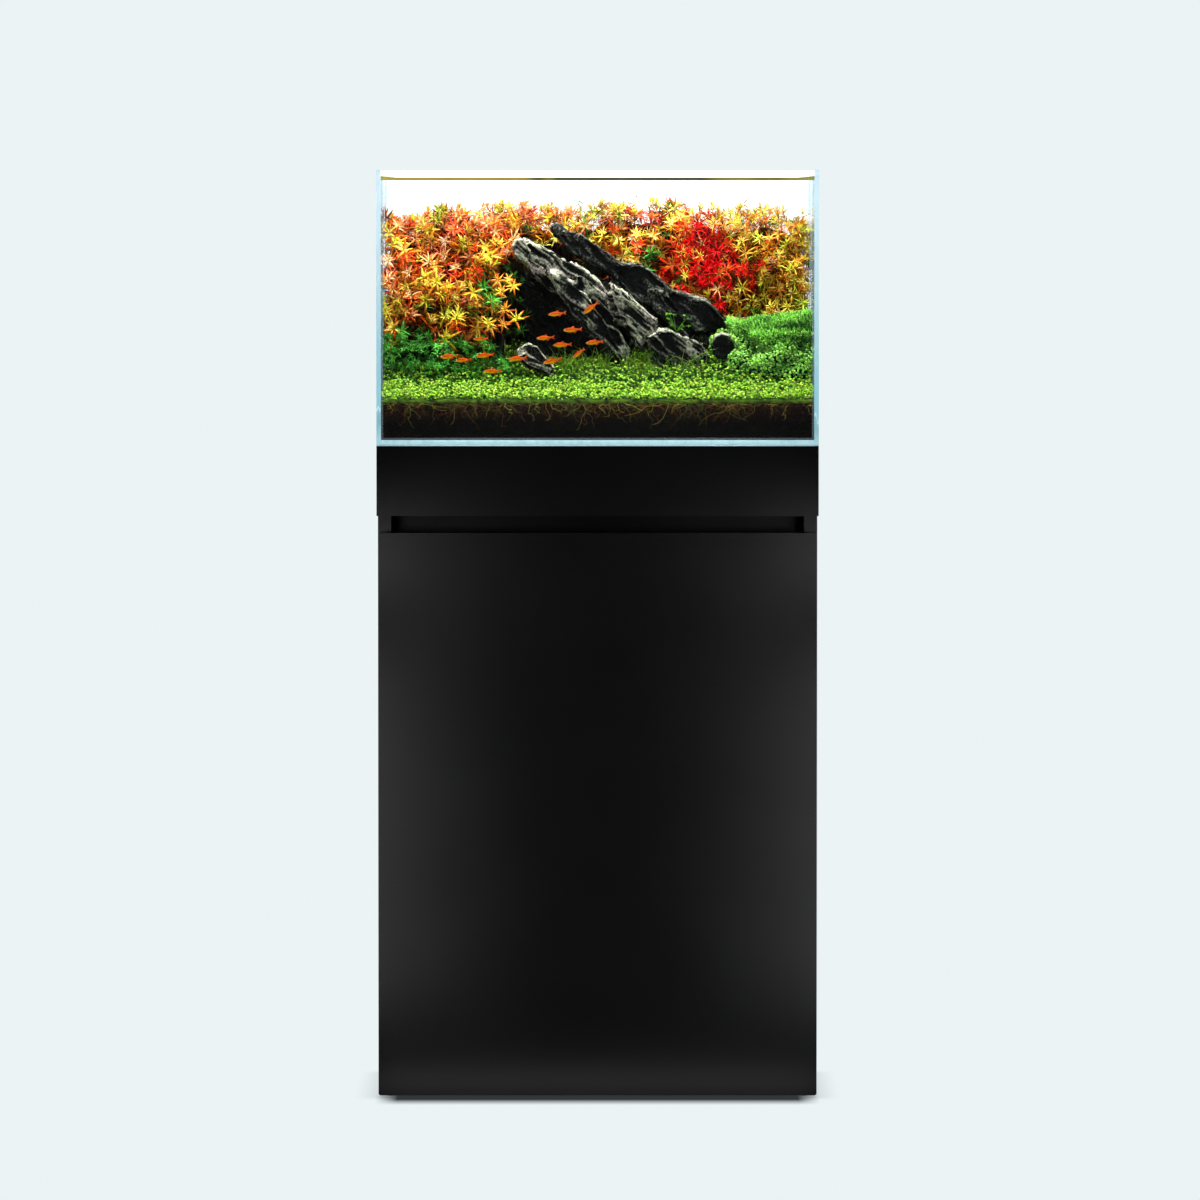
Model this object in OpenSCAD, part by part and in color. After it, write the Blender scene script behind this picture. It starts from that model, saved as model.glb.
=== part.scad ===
// Rimless planted aquarium on a one-door cabinet stand.
// Origin on the floor under the middle of the footprint. +X right, +Y to the back, +Z up.

/* [Tank] */
// Width over the glass
tank_w = 600; // [560:10:640]
// Depth over the glass and the background film
tank_d = 360; // [340:10:400]
// Height of the glass
tank_h = 372; // [360:2:400]
// Thickness of every pane
glass_t = 6; // [5:1:8]
// Leg of the silicone fillets in the inner corners
seam_leg = 3; // [2:0.5:4]
// Thickness of the white film on the back pane
film_t = 0.4; // [0.2:0.1:1]
// Drop from the rim to the water surface
water_drop = 11.5; // [8:0.5:20]
// Thickness of the levelling mat under the tank
mat_t = 2; // [1:0.5:4]

/* [Planting] */
// Height of the soil at the front glass
soil_front = 50; // [40:1:60]
// Height of the soil at the back glass
soil_back = 134; // [120:1:140]
// Thickness of the carpet of small plants
carpet_t = 9; // [6:1:12]
// Height of the stem plants above the bottom pane
stem_h = 318; // [300:1:325]
// Length of the largest fish, without its tail fin
fish_l = 22; // [18:1:26]

/* [Cabinet] */
// Height of the cabinet on its feet
cabinet_h = 888; // [860:1:920]
// Width of the carcass over its two sides
carcass_w = 597; // [570:1:600]
// Thickness of the carcass boards
board_t = 18; // [16:1:19]
// Thickness of the back board
back_t = 12; // [10:1:14]
// Height of the apron under the tank
apron_h = 95; // [80:1:110]
// Height of the finger pull between the apron and the door
pull_h = 23; // [18:1:30]
// Distance from the carcass front edge to the rail behind the finger pull
rail_setback = 18; // [15:1:30]
// Height of the rail behind the finger pull
rail_h = 125; // [120:1:150]
// Height of the shelf's underside
shelf_z = 430; // [380:1:480]
// Depth of the shelf
shelf_d = 280; // [240:1:290]
// Radius of the hose holes through the back board, inside their grommets
hose_r = 25; // [20:1:30]

/* [Door] */
// Width of the door
door_w = 596; // [570:1:600]
// Thickness of the door
door_t = 16; // [15:1:18]
// Gap between the closed door and the carcass
door_gap = 2; // [1.5:0.1:3]
// Radius of the door's corners
door_corner_r = 3; // [1:0.5:6]

/* [Hinges] */
// Height of the lower hinge
hinge_low_z = 104; // [90:1:160]
// Height of the upper hinge
hinge_high_z = 664; // [600:1:690]
// Radius of the hinge cup's bore in the door
cup_r = 17.5; // [17.5:0.5:20]
// Radius of the hinge pins
hinge_pin_r = 1.25; // [1:0.05:1.5]

/* [Feet] */
// Clear height under the cabinet
foot_h = 4; // [4:0.5:8]
// Inset of the feet from the cabinet's middle plane, sideways
foot_x = 281.5; // [260:0.5:284]
// Distance of the feet from the cabinet's middle plane, front to back
foot_y = 140; // [120:1:145]
// Radius of the feet's threaded stems
stem_r = 4; // [3:0.5:5]

/* [Hidden] */
$fn = 48;
running_fit = 0.05;
eps = 0.01;

// Levels and outer planes of the cabinet
front_y = -tank_d / 2;
back_y = tank_d / 2;
carcass_x = carcass_w / 2;
inner_x = carcass_x - board_t;
carcass_front = front_y + board_t;
carcass_back = back_y - back_t;
floor_top = foot_h + board_t;
top_under = cabinet_h - board_t;
apron_z = cabinet_h - apron_h;
door_top = apron_z - pull_h;
door_back = carcass_front - door_gap;
door_front = door_back - door_t;
rail_front = carcass_front + rail_setback;
board_mid_x = carcass_x - board_t / 2;

// Fasteners of the carcass
dowel_r = 4;
dowel_in_face = 12;
dowel_in_edge = 20;
dowel_ys = [-50, 50];
cam_r = 7.5;
cam_depth = 13;
cam_inset = 34;
cam_ys = [-90, 90];
cam_bolt_r = 3;
cam_bolt_in_face = 11;
apron_dowel_zs = [apron_z + 22, apron_z + 67];
rail_dowel_zs = [top_under - 80, top_under - 32];
rail_mid_y = rail_front + board_t / 2;
screw_r = 2;
screw_head_r = 4;
screw_head_h = 2.2;
back_screw_l = 34;
back_screw_zs = [70, 320, 560, 810];
back_screw_xs = [-140, 140];

// Shelf and its supports
shelf_side_gap = 1.5;
shelf_front = -130;
pin_r = 2.5;
pin_in = 8;
pin_out = 9;
pin_collar_r = 4;
pin_collar_t = 1.2;
pin_hole_depth = 9;
pin_pitch = 32;
pin_rows = [-2:2];
pin_ys = [shelf_front + 30, shelf_front + shelf_d - 30];
pin_z = shelf_z - pin_r;

// Hose grommets
hose_x = 190;
hose_z = 800;
grommet_wall = 3;
grommet_rim = 5;
grommet_rim_t = 2;

// Feet: a pad on a stem that turns in a steel insert
insert_r = 6;
pad_h = 3.7;
pad_r = 8;
pad_sole_r = 5;
pad_edge_h = 1.2;
stem_top = foot_h + board_t - 1.5;

// Hinges. Their plan is drawn with u to the right from the outer face of the left side
// and v to the back from the front edge of the carcass.
hinge_zs = [hinge_low_z, hinge_high_z];
arm_pin = [35.5, -4.5];
cup_pin = [12, -8.5];
cup_mid = [23.5, 0];
cup_depth = 12.5;
cup_wall = 1;
cup_floor_t = 0.7;
flange_t = 0.8;
flange_r = 18.6;
wing_u = 33;
wing_z = 22.5;
wing_r = 6;
lug_gap = 4.6;
lug_t = 1.4;
lug_r = 3;
link_half_h = 4;
link_t = 1.8;
elbow_r = 1.1;
knuckle_r = 2.7;
link_elbows = [[17, -11.6], [26, -12.2]];
arm_gap = 4.4;
arm_wall = 1.5;
arm_u = [22, 30];
arm_v = [14, 70];
plate_t = 4;
plate_v = [20, 68];
plate_wing_v = [30, 44];
plate_half_z = [8, 24];
plate_screw_z = 16;
hinge_screw_l = 11;

// Levels of the tank
tank_z = cabinet_h + mat_t;
rim_z = tank_z + tank_h;
bed_z = tank_z + glass_t;
glass_back = back_y - film_t;
in_x = tank_w / 2 - glass_t;
in_front = front_y + glass_t;
in_back = glass_back - glass_t;
water_z = rim_z - water_drop;
seam_top = rim_z - 4;

// The bed rises from the front glass to the back glass, with its crown near the middle
bed_profile = [
    [in_front, bed_z + soil_front], [-60, bed_z + 89],
    [40, bed_z + 114], [in_back, bed_z + soil_back]
];

// ---- Shared shapes ----

module block(low, high) {
    translate(low) cube(high - low);
}

module rod_x(at, r, length) {
    translate(at) rotate([0, 90, 0]) cylinder(r = r, h = length);
}

module rod_y(at, r, length) {
    translate(at) rotate([-90, 0, 0]) cylinder(r = r, h = length);
}

module rod_z(at, r, length) {
    translate(at) cylinder(r = r, h = length);
}

// A countersunk wood screw that points down from its head at the origin
module wood_screw(length) {
    translate([0, 0, -length]) cylinder(r = screw_r, h = length - screw_head_h);
    translate([0, 0, -screw_head_h]) cylinder(r1 = screw_r, r2 = screw_head_r, h = screw_head_h);
}

// The recess in a screw's head
module cross_recess() {
    for (a = [0, 90]) rotate(a) translate([-2, -0.4, -1.2]) cube([4, 0.8, 1.2 + eps]);
}

// A bar of even thickness between two points of a plan
module bar(p, q, t) {
    d = q - p;
    translate(p) rotate(atan2(d[1], d[0])) translate([0, -t / 2]) square([norm(d), t]);
}

// ---- Fasteners, as solids that the boards are also cut with ----

// Vertical joints between a side and the two boards that it stands between
module at_board_joints(ys) {
    for (sx = [-1, 1]) for (y = ys) {
        translate([sx * board_mid_x, y, floor_top]) children();
        translate([sx * board_mid_x, y, top_under]) mirror([0, 0, 1]) children();
    }
}

module dowel_solids() {
    at_board_joints(dowel_ys)
        rod_z([0, 0, -dowel_in_face], dowel_r, dowel_in_face + dowel_in_edge);
    for (sx = [-1, 1]) {
        for (z = apron_dowel_zs)
            rod_y([sx * board_mid_x, carcass_front - dowel_in_face, z], dowel_r,
                dowel_in_face + dowel_in_edge);
        for (z = rail_dowel_zs) scale([sx, 1, 1])
            rod_x([inner_x - dowel_in_edge, rail_mid_y, z], dowel_r,
                dowel_in_face + dowel_in_edge);
    }
}

module cam_bolt_solids() {
    at_board_joints(cam_ys)
        rod_z([0, 0, -cam_bolt_in_face], cam_bolt_r, cam_bolt_in_face + cam_inset + cam_bolt_r);
}

module cam_disc_solids() {
    for (sx = [-1, 1]) for (y = cam_ys) for (z = [floor_top + cam_inset, top_under - cam_inset])
        mirror([sx < 0 ? 1 : 0, 0, 0]) rod_x([inner_x, y, z], cam_r, cam_depth);
}

module at_back_screws() {
    for (sx = [-1, 1]) for (z = back_screw_zs)
        translate([sx * board_mid_x, back_y, z]) rotate([-90, 0, 0]) children();
    for (x = back_screw_xs) for (z = [foot_h + board_t / 2, cabinet_h - board_t / 2])
        translate([x, back_y, z]) rotate([-90, 0, 0]) children();
}

module back_screw_solids() {
    at_back_screws() wood_screw(back_screw_l);
}

module at_plate_screws() {
    for (z = hinge_zs) for (dz = [-1, 1])
        translate([
            board_t + plate_t - carcass_x, carcass_front + mean(plate_wing_v),
            z + dz * plate_screw_z
        ]) rotate([0, 90, 0]) children();
}

module at_cup_screws() {
    for (z = hinge_zs) for (dz = [-1, 1])
        translate([wing_u - carcass_x, door_back + flange_t, z + dz * wing_z])
            rotate([-90, 0, 0]) children();
}

module at_feet() {
    for (sx = [-1, 1]) for (sy = [-1, 1]) translate([sx * foot_x, sy * foot_y, 0]) children();
}

function mean(pair) = (pair[0] + pair[1]) / 2;

// ---- Cabinet ----

module side_panel(sx) {
    color([0.05, 0.05, 0.05]) difference() {
        mirror([sx < 0 ? 1 : 0, 0, 0]) difference() {
            block([inner_x, carcass_front, floor_top], [carcass_x, carcass_back, top_under]);
            for (y = pin_ys) for (k = pin_rows)
                rod_x([inner_x - eps, y, pin_z + k * pin_pitch], pin_r, pin_hole_depth + eps);
        }
        dowel_solids();
        cam_bolt_solids();
        cam_disc_solids();
        back_screw_solids();
        if (sx < 0) at_plate_screws() wood_screw(hinge_screw_l);
    }
}

module side_panel_left() { side_panel(-1); }

module side_panel_right() { side_panel(1); }

module bottom_panel() {
    color([0.05, 0.05, 0.05]) difference() {
        block([-carcass_x, carcass_front, foot_h], [carcass_x, carcass_back, floor_top]);
        at_feet() rod_z([0, 0, foot_h - eps], insert_r, board_t + 2 * eps);
        dowel_solids();
        cam_bolt_solids();
        back_screw_solids();
    }
}

module top_panel() {
    color([0.05, 0.05, 0.05]) difference() {
        block([-carcass_x, carcass_front, top_under], [carcass_x, carcass_back, cabinet_h]);
        dowel_solids();
        cam_bolt_solids();
        back_screw_solids();
    }
}

module at_hoses() {
    for (sx = [-1, 1]) translate([sx * hose_x, carcass_back, hose_z]) rotate([-90, 0, 0]) children();
}

module grommet_outside() {
    cylinder(r = hose_r + grommet_wall, h = back_t);
    translate([0, 0, back_t - grommet_rim_t])
        cylinder(r = hose_r + grommet_wall + grommet_rim, h = grommet_rim_t);
}

module back_panel() {
    color([0.05, 0.05, 0.05]) difference() {
        block([-carcass_x, carcass_back, foot_h], [carcass_x, back_y, cabinet_h]);
        at_hoses() grommet_outside();
        back_screw_solids();
    }
}

module front_apron() {
    color([0.05, 0.05, 0.05]) difference() {
        block([-tank_w / 2, front_y, apron_z], [tank_w / 2, carcass_front, cabinet_h]);
        dowel_solids();
    }
}

// Closes the finger pull at the back, and stiffens the top
module groove_rail() {
    color([0.03, 0.03, 0.03]) difference() {
        block([-inner_x, rail_front, top_under - rail_h], [inner_x, rail_front + board_t, top_under]);
        dowel_solids();
    }
}

module shelf() {
    half = inner_x - shelf_side_gap;
    color([0.05, 0.05, 0.05])
        block([-half, shelf_front, shelf_z], [half, shelf_front + shelf_d, shelf_z + board_t]);
}

module shelf_pins() {
    color([0.7, 0.7, 0.72]) for (sx = [0, 1]) for (y = pin_ys) mirror([sx, 0, 0]) {
        rod_x([inner_x - pin_out, y, pin_z], pin_r, pin_out + pin_in);
        rod_x([inner_x - pin_collar_t, y, pin_z], pin_collar_r, pin_collar_t);
    }
}

module cam_locks() {
    slot = [1.5, 1.2, 8];
    color([0.6, 0.6, 0.62]) difference() {
        cam_disc_solids();
        cam_bolt_solids();
        for (sx = [-1, 1]) for (y = cam_ys) for (z = [floor_top + cam_inset, top_under - cam_inset])
            translate([sx * inner_x, y, z]) cube([2 * slot[0], slot[1], slot[2]], center = true);
    }
}

module cam_bolts() { color([0.7, 0.65, 0.4]) cam_bolt_solids(); }

module wood_dowels() { color([0.8, 0.65, 0.45]) dowel_solids(); }

module back_screws() {
    color([0.15, 0.15, 0.15]) difference() {
        back_screw_solids();
        at_back_screws() cross_recess();
    }
}

module hose_grommets() {
    color([0.1, 0.1, 0.1]) at_hoses() difference() {
        grommet_outside();
        translate([0, 0, -eps]) cylinder(r = hose_r, h = back_t + 2 * eps);
    }
}

module foot_inserts() {
    color([0.65, 0.65, 0.67]) at_feet() difference() {
        rod_z([0, 0, foot_h], insert_r, board_t);
        rod_z([0, 0, foot_h - eps], stem_r + running_fit, board_t + 2 * eps);
    }
}

// ---- Hinges ----

// Places a plan drawn in u and v, given its thickness about the hinge's height
module hinge_plan(z, half) {
    translate([-carcass_x, carcass_front, z - half]) linear_extrude(2 * half) children();
}

module hinge_plate(z) {
    color([0.7, 0.7, 0.72]) difference() {
        union() {
            hinge_plan(z, plate_half_z[0])
                translate([board_t, plate_v[0]]) square([plate_t, plate_v[1] - plate_v[0]]);
            hinge_plan(z, plate_half_z[1]) translate([board_t, plate_wing_v[0]])
                square([plate_t, plate_wing_v[1] - plate_wing_v[0]]);
        }
        at_plate_screws() wood_screw(hinge_screw_l);
    }
}

module hinge_plate_lower() { hinge_plate(hinge_low_z); }

module hinge_plate_upper() { hinge_plate(hinge_high_z); }

// A channel on the plate that ends in two ears around the arm pin
module hinge_arm(z) {
    outside = arm_gap + arm_wall;
    color([0.75, 0.75, 0.77]) difference() {
        union() {
            hinge_plan(z, outside) {
                translate([arm_u[0], arm_v[0]]) square([arm_u[1] - arm_u[0], arm_v[1] - arm_v[0]]);
                polygon([
                    [arm_u[0], arm_v[0]], arm_pin - [knuckle_r, 0], arm_pin + [knuckle_r, 0],
                    [arm_u[1], arm_v[0] + 4], [arm_u[0], arm_v[0] + 4]
                ]);
                translate(arm_pin) circle(r = knuckle_r);
            }
        }
        hinge_plan(z, arm_gap) {
            translate([arm_u[0] - eps, arm_v[0] + 4])
                square([arm_u[1] - arm_u[0] - arm_wall, arm_v[1] - arm_v[0] - 4 - arm_wall]);
            translate(arm_pin - [20, 20]) square([40, 38.5 + eps]);
        }
        hinge_plan(z, outside + eps) translate(arm_pin) circle(r = hinge_pin_r);
    }
}

module hinge_arm_lower() { hinge_arm(hinge_low_z); }

module hinge_arm_upper() { hinge_arm(hinge_high_z); }

module plate_screws() {
    color([0.6, 0.6, 0.62]) at_plate_screws() difference() {
        wood_screw(hinge_screw_l);
        cross_recess();
    }
}

module arm_pins() {
    color([0.6, 0.6, 0.62]) for (z = hinge_zs)
        hinge_plan(z, arm_gap + arm_wall) translate(arm_pin) circle(r = hinge_pin_r);
}

// A strap that dips through the cup, so that it passes under the cup's edge when the door opens
module hinge_link(z) {
    path = concat([cup_pin], link_elbows, [arm_pin]);
    color([0.65, 0.65, 0.67]) hinge_plan(z, link_half_h) difference() {
        union() {
            for (i = [0:len(path) - 2]) bar(path[i], path[i + 1], link_t);
            for (p = link_elbows) translate(p) circle(r = elbow_r);
            for (p = [arm_pin, cup_pin]) translate(p) circle(r = knuckle_r);
        }
        for (p = [arm_pin, cup_pin]) translate(p) circle(r = hinge_pin_r + running_fit);
    }
}

module hinge_link_lower() { hinge_link(hinge_low_z); }

module hinge_link_upper() { hinge_link(hinge_high_z); }

// ---- Door ----

module rounded_plate(w, h, r) {
    translate([r, 0]) square([w - 2 * r, h]);
    translate([0, r]) square([w, h - 2 * r]);
    for (x = [r, w - r]) for (y = [r, h - r]) translate([x, y]) circle(r = r);
}

module at_cups() {
    for (z = hinge_zs) translate([cup_mid[0] - carcass_x, door_back, z]) rotate([-90, 0, 0]) children();
}

module door_panel() {
    color([0.05, 0.05, 0.05]) difference() {
        translate([-door_w / 2, door_back, foot_h]) rotate([90, 0, 0])
            linear_extrude(door_t) rounded_plate(door_w, door_top - foot_h, door_corner_r);
        at_cups() rod_z([0, 0, -cup_depth], cup_r, cup_depth + 1);
        at_cup_screws() wood_screw(hinge_screw_l);
    }
}

// Drawn with the cup's mouth up. Its plan has +x to the right and +y down the door.
module hinge_cup(z) {
    inside_r = cup_r - cup_wall;
    pin_at = [cup_pin[0] - cup_mid[0], 0];
    pin_level = cup_pin[1] + door_gap;
    color([0.75, 0.75, 0.77]) translate([cup_mid[0] - carcass_x, door_back, z]) rotate([-90, 0, 0])
        difference() {
            union() {
                difference() {
                    union() {
                        translate([0, 0, -cup_depth]) cylinder(r = cup_r, h = cup_depth + flange_t);
                        linear_extrude(flange_t) {
                            circle(r = flange_r);
                            for (s = [-1, 1]) translate([wing_u - cup_mid[0], s * wing_z])
                                circle(r = wing_r);
                            translate([0, -wing_z]) square([wing_u - cup_mid[0] + wing_r, 2 * wing_z]);
                        }
                    }
                    translate([0, 0, -cup_depth + cup_floor_t])
                        cylinder(r = inside_r, h = cup_depth + flange_t);
                }
                for (s = [-1, 1]) translate([pin_at[0], s * (lug_gap + lug_t / 2), 0])
                    rotate([90, 0, 0]) linear_extrude(lug_t, center = true) {
                        translate([0, pin_level]) circle(r = lug_r);
                        translate([-lug_r, -cup_depth]) square([2 * lug_r, cup_depth + pin_level]);
                    }
            }
            translate([pin_at[0], 0, pin_level]) rotate([90, 0, 0])
                cylinder(r = hinge_pin_r, h = 2 * (lug_gap + lug_t + eps), center = true);
            for (s = [-1, 1]) translate([wing_u - cup_mid[0], s * wing_z, flange_t])
                wood_screw(hinge_screw_l);
        }
}

module hinge_cup_lower() { hinge_cup(hinge_low_z); }

module hinge_cup_upper() { hinge_cup(hinge_high_z); }

module cup_screws() {
    color([0.6, 0.6, 0.62]) at_cup_screws() difference() {
        wood_screw(hinge_screw_l);
        cross_recess();
    }
}

module cup_pins() {
    color([0.6, 0.6, 0.62]) for (z = hinge_zs)
        hinge_plan(z, lug_gap + lug_t) translate(cup_pin) circle(r = hinge_pin_r);
}

// Two soft buttons near the door's free edge, just short of the carcass
module door_bumpers() {
    button_t = door_gap - 0.3;
    color([0.85, 0.87, 0.88]) for (z = [foot_h + 36, door_top - 36])
        rod_y([board_mid_x - 1, door_back, z], 4, button_t);
}

// ---- Feet ----

module foot_pad(sx, sy) {
    color([0.06, 0.06, 0.06]) translate([sx * foot_x, sy * foot_y, 0]) rotate_extrude() polygon([
        [0, 0], [pad_sole_r, 0], [pad_r, pad_h - pad_edge_h], [pad_r, pad_h], [0, pad_h]
    ]);
}

module foot_stem(sx, sy) {
    color([0.65, 0.65, 0.67]) translate([sx * foot_x, sy * foot_y, 0])
        rod_z([0, 0, pad_h], stem_r, stem_top - pad_h);
}

module foot_pad_front_left() { foot_pad(-1, -1); }

module foot_pad_front_right() { foot_pad(1, -1); }

module foot_pad_rear_left() { foot_pad(-1, 1); }

module foot_pad_rear_right() { foot_pad(1, 1); }

module foot_stem_front_left() { foot_stem(-1, -1); }

module foot_stem_front_right() { foot_stem(1, -1); }

module foot_stem_rear_left() { foot_stem(-1, 1); }

module foot_stem_rear_right() { foot_stem(1, 1); }

// ---- Tank ----

module levelling_mat() {
    color([0.75, 0.8, 0.8])
        block([-tank_w / 2, front_y, cabinet_h], [tank_w / 2, back_y, tank_z]);
}

module tank_bottom_pane() {
    color([0.75, 0.9, 0.93, 0.5]) block([-in_x, in_front, tank_z], [in_x, in_back, bed_z]);
}

// A wall pane with mitred ends. Its outer face lies on y = 0 and it reaches towards +Y.
module wall_pane(w) {
    color([0.75, 0.9, 0.93, 0.5]) translate([0, 0, tank_z]) linear_extrude(tank_h) polygon([
        [-w / 2, 0], [w / 2, 0], [w / 2 - glass_t, glass_t], [-w / 2 + glass_t, glass_t]
    ]);
}

module tank_front_pane() { translate([0, front_y, 0]) wall_pane(tank_w); }

module tank_back_pane() { translate([0, glass_back, 0]) rotate(180) wall_pane(tank_w); }

module tank_side_pane(sx) {
    translate([sx * tank_w / 2, mean([front_y, glass_back]), 0])
        rotate(sx * 90) wall_pane(glass_back - front_y);
}

module tank_left_pane() { tank_side_pane(-1); }

module tank_right_pane() { tank_side_pane(1); }

// A triangular fillet that fills the corner at the origin, towards +X and +Y
module fillet(length) {
    linear_extrude(length) polygon([[0, 0], [seam_leg, 0], [0, seam_leg]]);
}

module corner_seam_solids() {
    color([0.85, 0.9, 0.9, 0.6]) for (c = [
        [-in_x, in_front, 0], [in_x, in_front, 90], [in_x, in_back, 180], [-in_x, in_back, 270]
    ]) translate([c[0], c[1], bed_z + seam_leg]) rotate(c[2]) fillet(seam_top - bed_z - seam_leg);
}

module base_seam_solids() {
    color([0.85, 0.9, 0.9, 0.6]) {
        for (s = [0, 1]) mirror([s, 0, 0])
            translate([-in_x, in_back, bed_z]) rotate([90, 0, 0]) fillet(in_back - in_front);
        translate([-in_x, in_front, bed_z]) rotate([90, 0, 90]) fillet(2 * in_x);
        translate([in_x, in_back, bed_z]) rotate([90, 0, -90]) fillet(2 * in_x);
    }
}

module corner_seams() { corner_seam_solids(); }

module base_seams() { base_seam_solids(); }

module background_film() {
    color([0.95, 0.96, 0.97])
        block([-tank_w / 2, glass_back, tank_z], [tank_w / 2, back_y, rim_z]);
}

// ---- Bed, stones and plants ----

// Extrudes a profile drawn in y and z from one side glass to the other
module across(profile) {
    translate([-in_x, 0, 0]) rotate([90, 0, 90]) linear_extrude(2 * in_x) polygon(profile);
}

// The bed up to a height above the soil's surface
module bed_mass(over) {
    across(concat([for (p = bed_profile) p + [0, over]], [[in_back, bed_z], [in_front, bed_z]]));
}

// A stone between a front outline and a back outline, each drawn in x and z
module slab(front_y, front, back_y, back) {
    hull() {
        translate([0, front_y, 0]) rotate([90, 0, 0]) linear_extrude(1) polygon(front);
        translate([0, back_y, 0]) rotate([90, 0, 0]) linear_extrude(1) polygon(back);
    }
}

module stone_main() {
    color([0.2, 0.21, 0.22]) slab(
        -46, [[-112, 1160], [-60, 1128], [14, 1112], [50, 1050], [70, 980], [6, 980], [-74, 1088]],
        6, [[-119, 1168], [-103, 1172], [-10, 1140], [20, 1125], [44, 1097], [76, 1020], [78, 980],
            [0, 980], [-70, 1095]]
    );
}

module stone_spire() {
    color([0.2, 0.21, 0.22]) slab(
        14, [[-61, 1168], [-45, 1180], [20, 1138], [120, 1078], [185, 1036], [190, 990], [10, 990]],
        50, [[-67, 1184], [-57, 1191], [-43, 1187], [58, 1130], [125, 1086], [191, 1039], [200, 995],
            [10, 995]]
    );
}

module stone_right() {
    color([0.22, 0.23, 0.24]) slab(
        -56, [[84, 1004], [94, 1036], [122, 1028], [150, 1008], [146, 972], [90, 972]],
        -20, [[84, 1016], [96, 1046], [125, 1036], [154, 1019], [152, 980], [86, 980]]
    );
}

module stone_small() {
    color([0.22, 0.23, 0.24]) slab(
        -88, [[-112, 1002], [-100, 1022], [-84, 1026], [-68, 1004], [-66, 965], [-108, 965]],
        -62, [[-113, 1008], [-102, 1030], [-86, 1032], [-66, 1012], [-62, 975], [-110, 975]]
    );
}

module stone_round() {
    color([0.25, 0.26, 0.27]) translate([174, -38, 1018]) sphere(r = 19, $fn = 12);
}

module stones() {
    stone_main();
    stone_spire();
    stone_right();
    stone_small();
    stone_round();
}

module soil() {
    color([0.08, 0.06, 0.05]) difference() {
        bed_mass(0);
        stones();
        base_seam_solids();
        corner_seam_solids();
    }
}

module carpet_plants() {
    color([0.35, 0.6, 0.1]) difference() {
        bed_mass(carpet_t);
        bed_mass(0);
        stones();
        corner_seam_solids();
    }
}

// A bush between two places across the tank, lower at its front than at its back
module bush_shape(x, front_edge, front_z, back_z) {
    shoulder = 12;
    bottom = bed_z + 40;
    back_edge = in_back - 2;
    middle_y = mean([front_edge, back_edge]);
    hull() {
        block([x[0], front_edge, bottom], [x[1], front_edge + 30, front_z]);
        block([x[0] + shoulder, middle_y, bottom], [x[1] - shoulder, back_edge, bed_z + stem_h]);
        block([x[0], back_edge - 40, bottom], [x[1], back_edge, back_z]);
    }
}

module left_bush() { bush_shape([-in_x + 1.5, -124], -58, 1100, 1200); }

module middle_bush() { bush_shape([-120, 112], 56, 1180, 1204); }

module right_bush() { bush_shape([116, in_x - 1.5], 56, 1150, 1200); }

module moss_shape() {
    bottom = bed_z + 40;
    hull() {
        block([200, -96, bottom], [in_x - 1.5, -70, 1000]);
        block([186, -60, bottom], [in_x - 1.5, 6, 1040]);
        block([205, -40, bottom], [in_x - 6, 0, 1060]);
    }
}

// Cuts a plant off where it meets the carpet
module above_carpet() {
    difference() {
        children();
        bed_mass(carpet_t);
    }
}

module stem_plants_left() { color([0.8, 0.4, 0.1]) above_carpet() left_bush(); }

module stem_plants_middle() { color([0.8, 0.35, 0.1]) above_carpet() middle_bush(); }

module stem_plants_right() { color([0.75, 0.2, 0.1]) above_carpet() right_bush(); }

module moss_mound() {
    color([0.15, 0.35, 0.08]) above_carpet() difference() {
        moss_shape();
        stone_round();
    }
}

// Tufts in a row at the foot of the stones
module hairgrass() {
    color([0.3, 0.5, 0.12]) above_carpet() for (i = [0:6])
        translate([-32 + 26 * i, -70 - 4 * (i % 2), bed_z + 78]) cylinder(r1 = 6, r2 = 1.5, h = 48);
}

// Each fish: place across, height above the bottom pane, nose-down tilt, part of full size
shoal = [
    [-204, 112, 4, 1], [-185, 107, 3, 0.9], [-156, 113, 6, 1], [-145, 92, 2, 0.95],
    [-111, 109, 5, 1], [-73, 137, 4, 0.95], [-50, 128, 3, 1], [-57, 170, 6, 0.95],
    [-36, 148, 4, 1], [-12, 178, 45, 1], [-6, 131, 5, 0.95], [-28, 116, 45, 0.8],
    [-64, 107, 20, 1], [-161, 136, 4, 0.8]
];
shoal_front = -112;

module fish_body() {
    half = fish_l / 2;
    girth = 4;
    arc_r = (half * half + girth * girth) / (2 * girth);
    rotate([0, 90, 0]) rotate_extrude() intersection() {
        translate([girth - arc_r, 0]) circle(r = arc_r, $fn = 64);
        translate([0, -half]) square([girth, fish_l]);
    }
    translate([half - 3, 0.4, 0]) rotate([90, 0, 0]) linear_extrude(0.8)
        polygon([[0, -0.5], [8, -3.5], [6.5, 0], [8, 3.5], [0, 0.5]]);
}

module fish() {
    color([0.9, 0.35, 0.05]) for (i = [0:len(shoal) - 1])
        translate([shoal[i][0], shoal_front + 9 * (i % 3), bed_z + shoal[i][1]])
            rotate([0, -shoal[i][2], 0]) scale(shoal[i][3]) fish_body();
}

// Fills the tank around the bed, the stones and the plants. The fish and the tufts of
// hairgrass stand in it.
module water() {
    color([0.8, 0.93, 0.95, 0.3]) difference() {
        block([-in_x, in_front, bed_z], [in_x, in_back, water_z]);
        bed_mass(carpet_t);
        stones();
        corner_seam_solids();
        left_bush();
        middle_bush();
        right_bush();
        moss_shape();
    }
}

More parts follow.
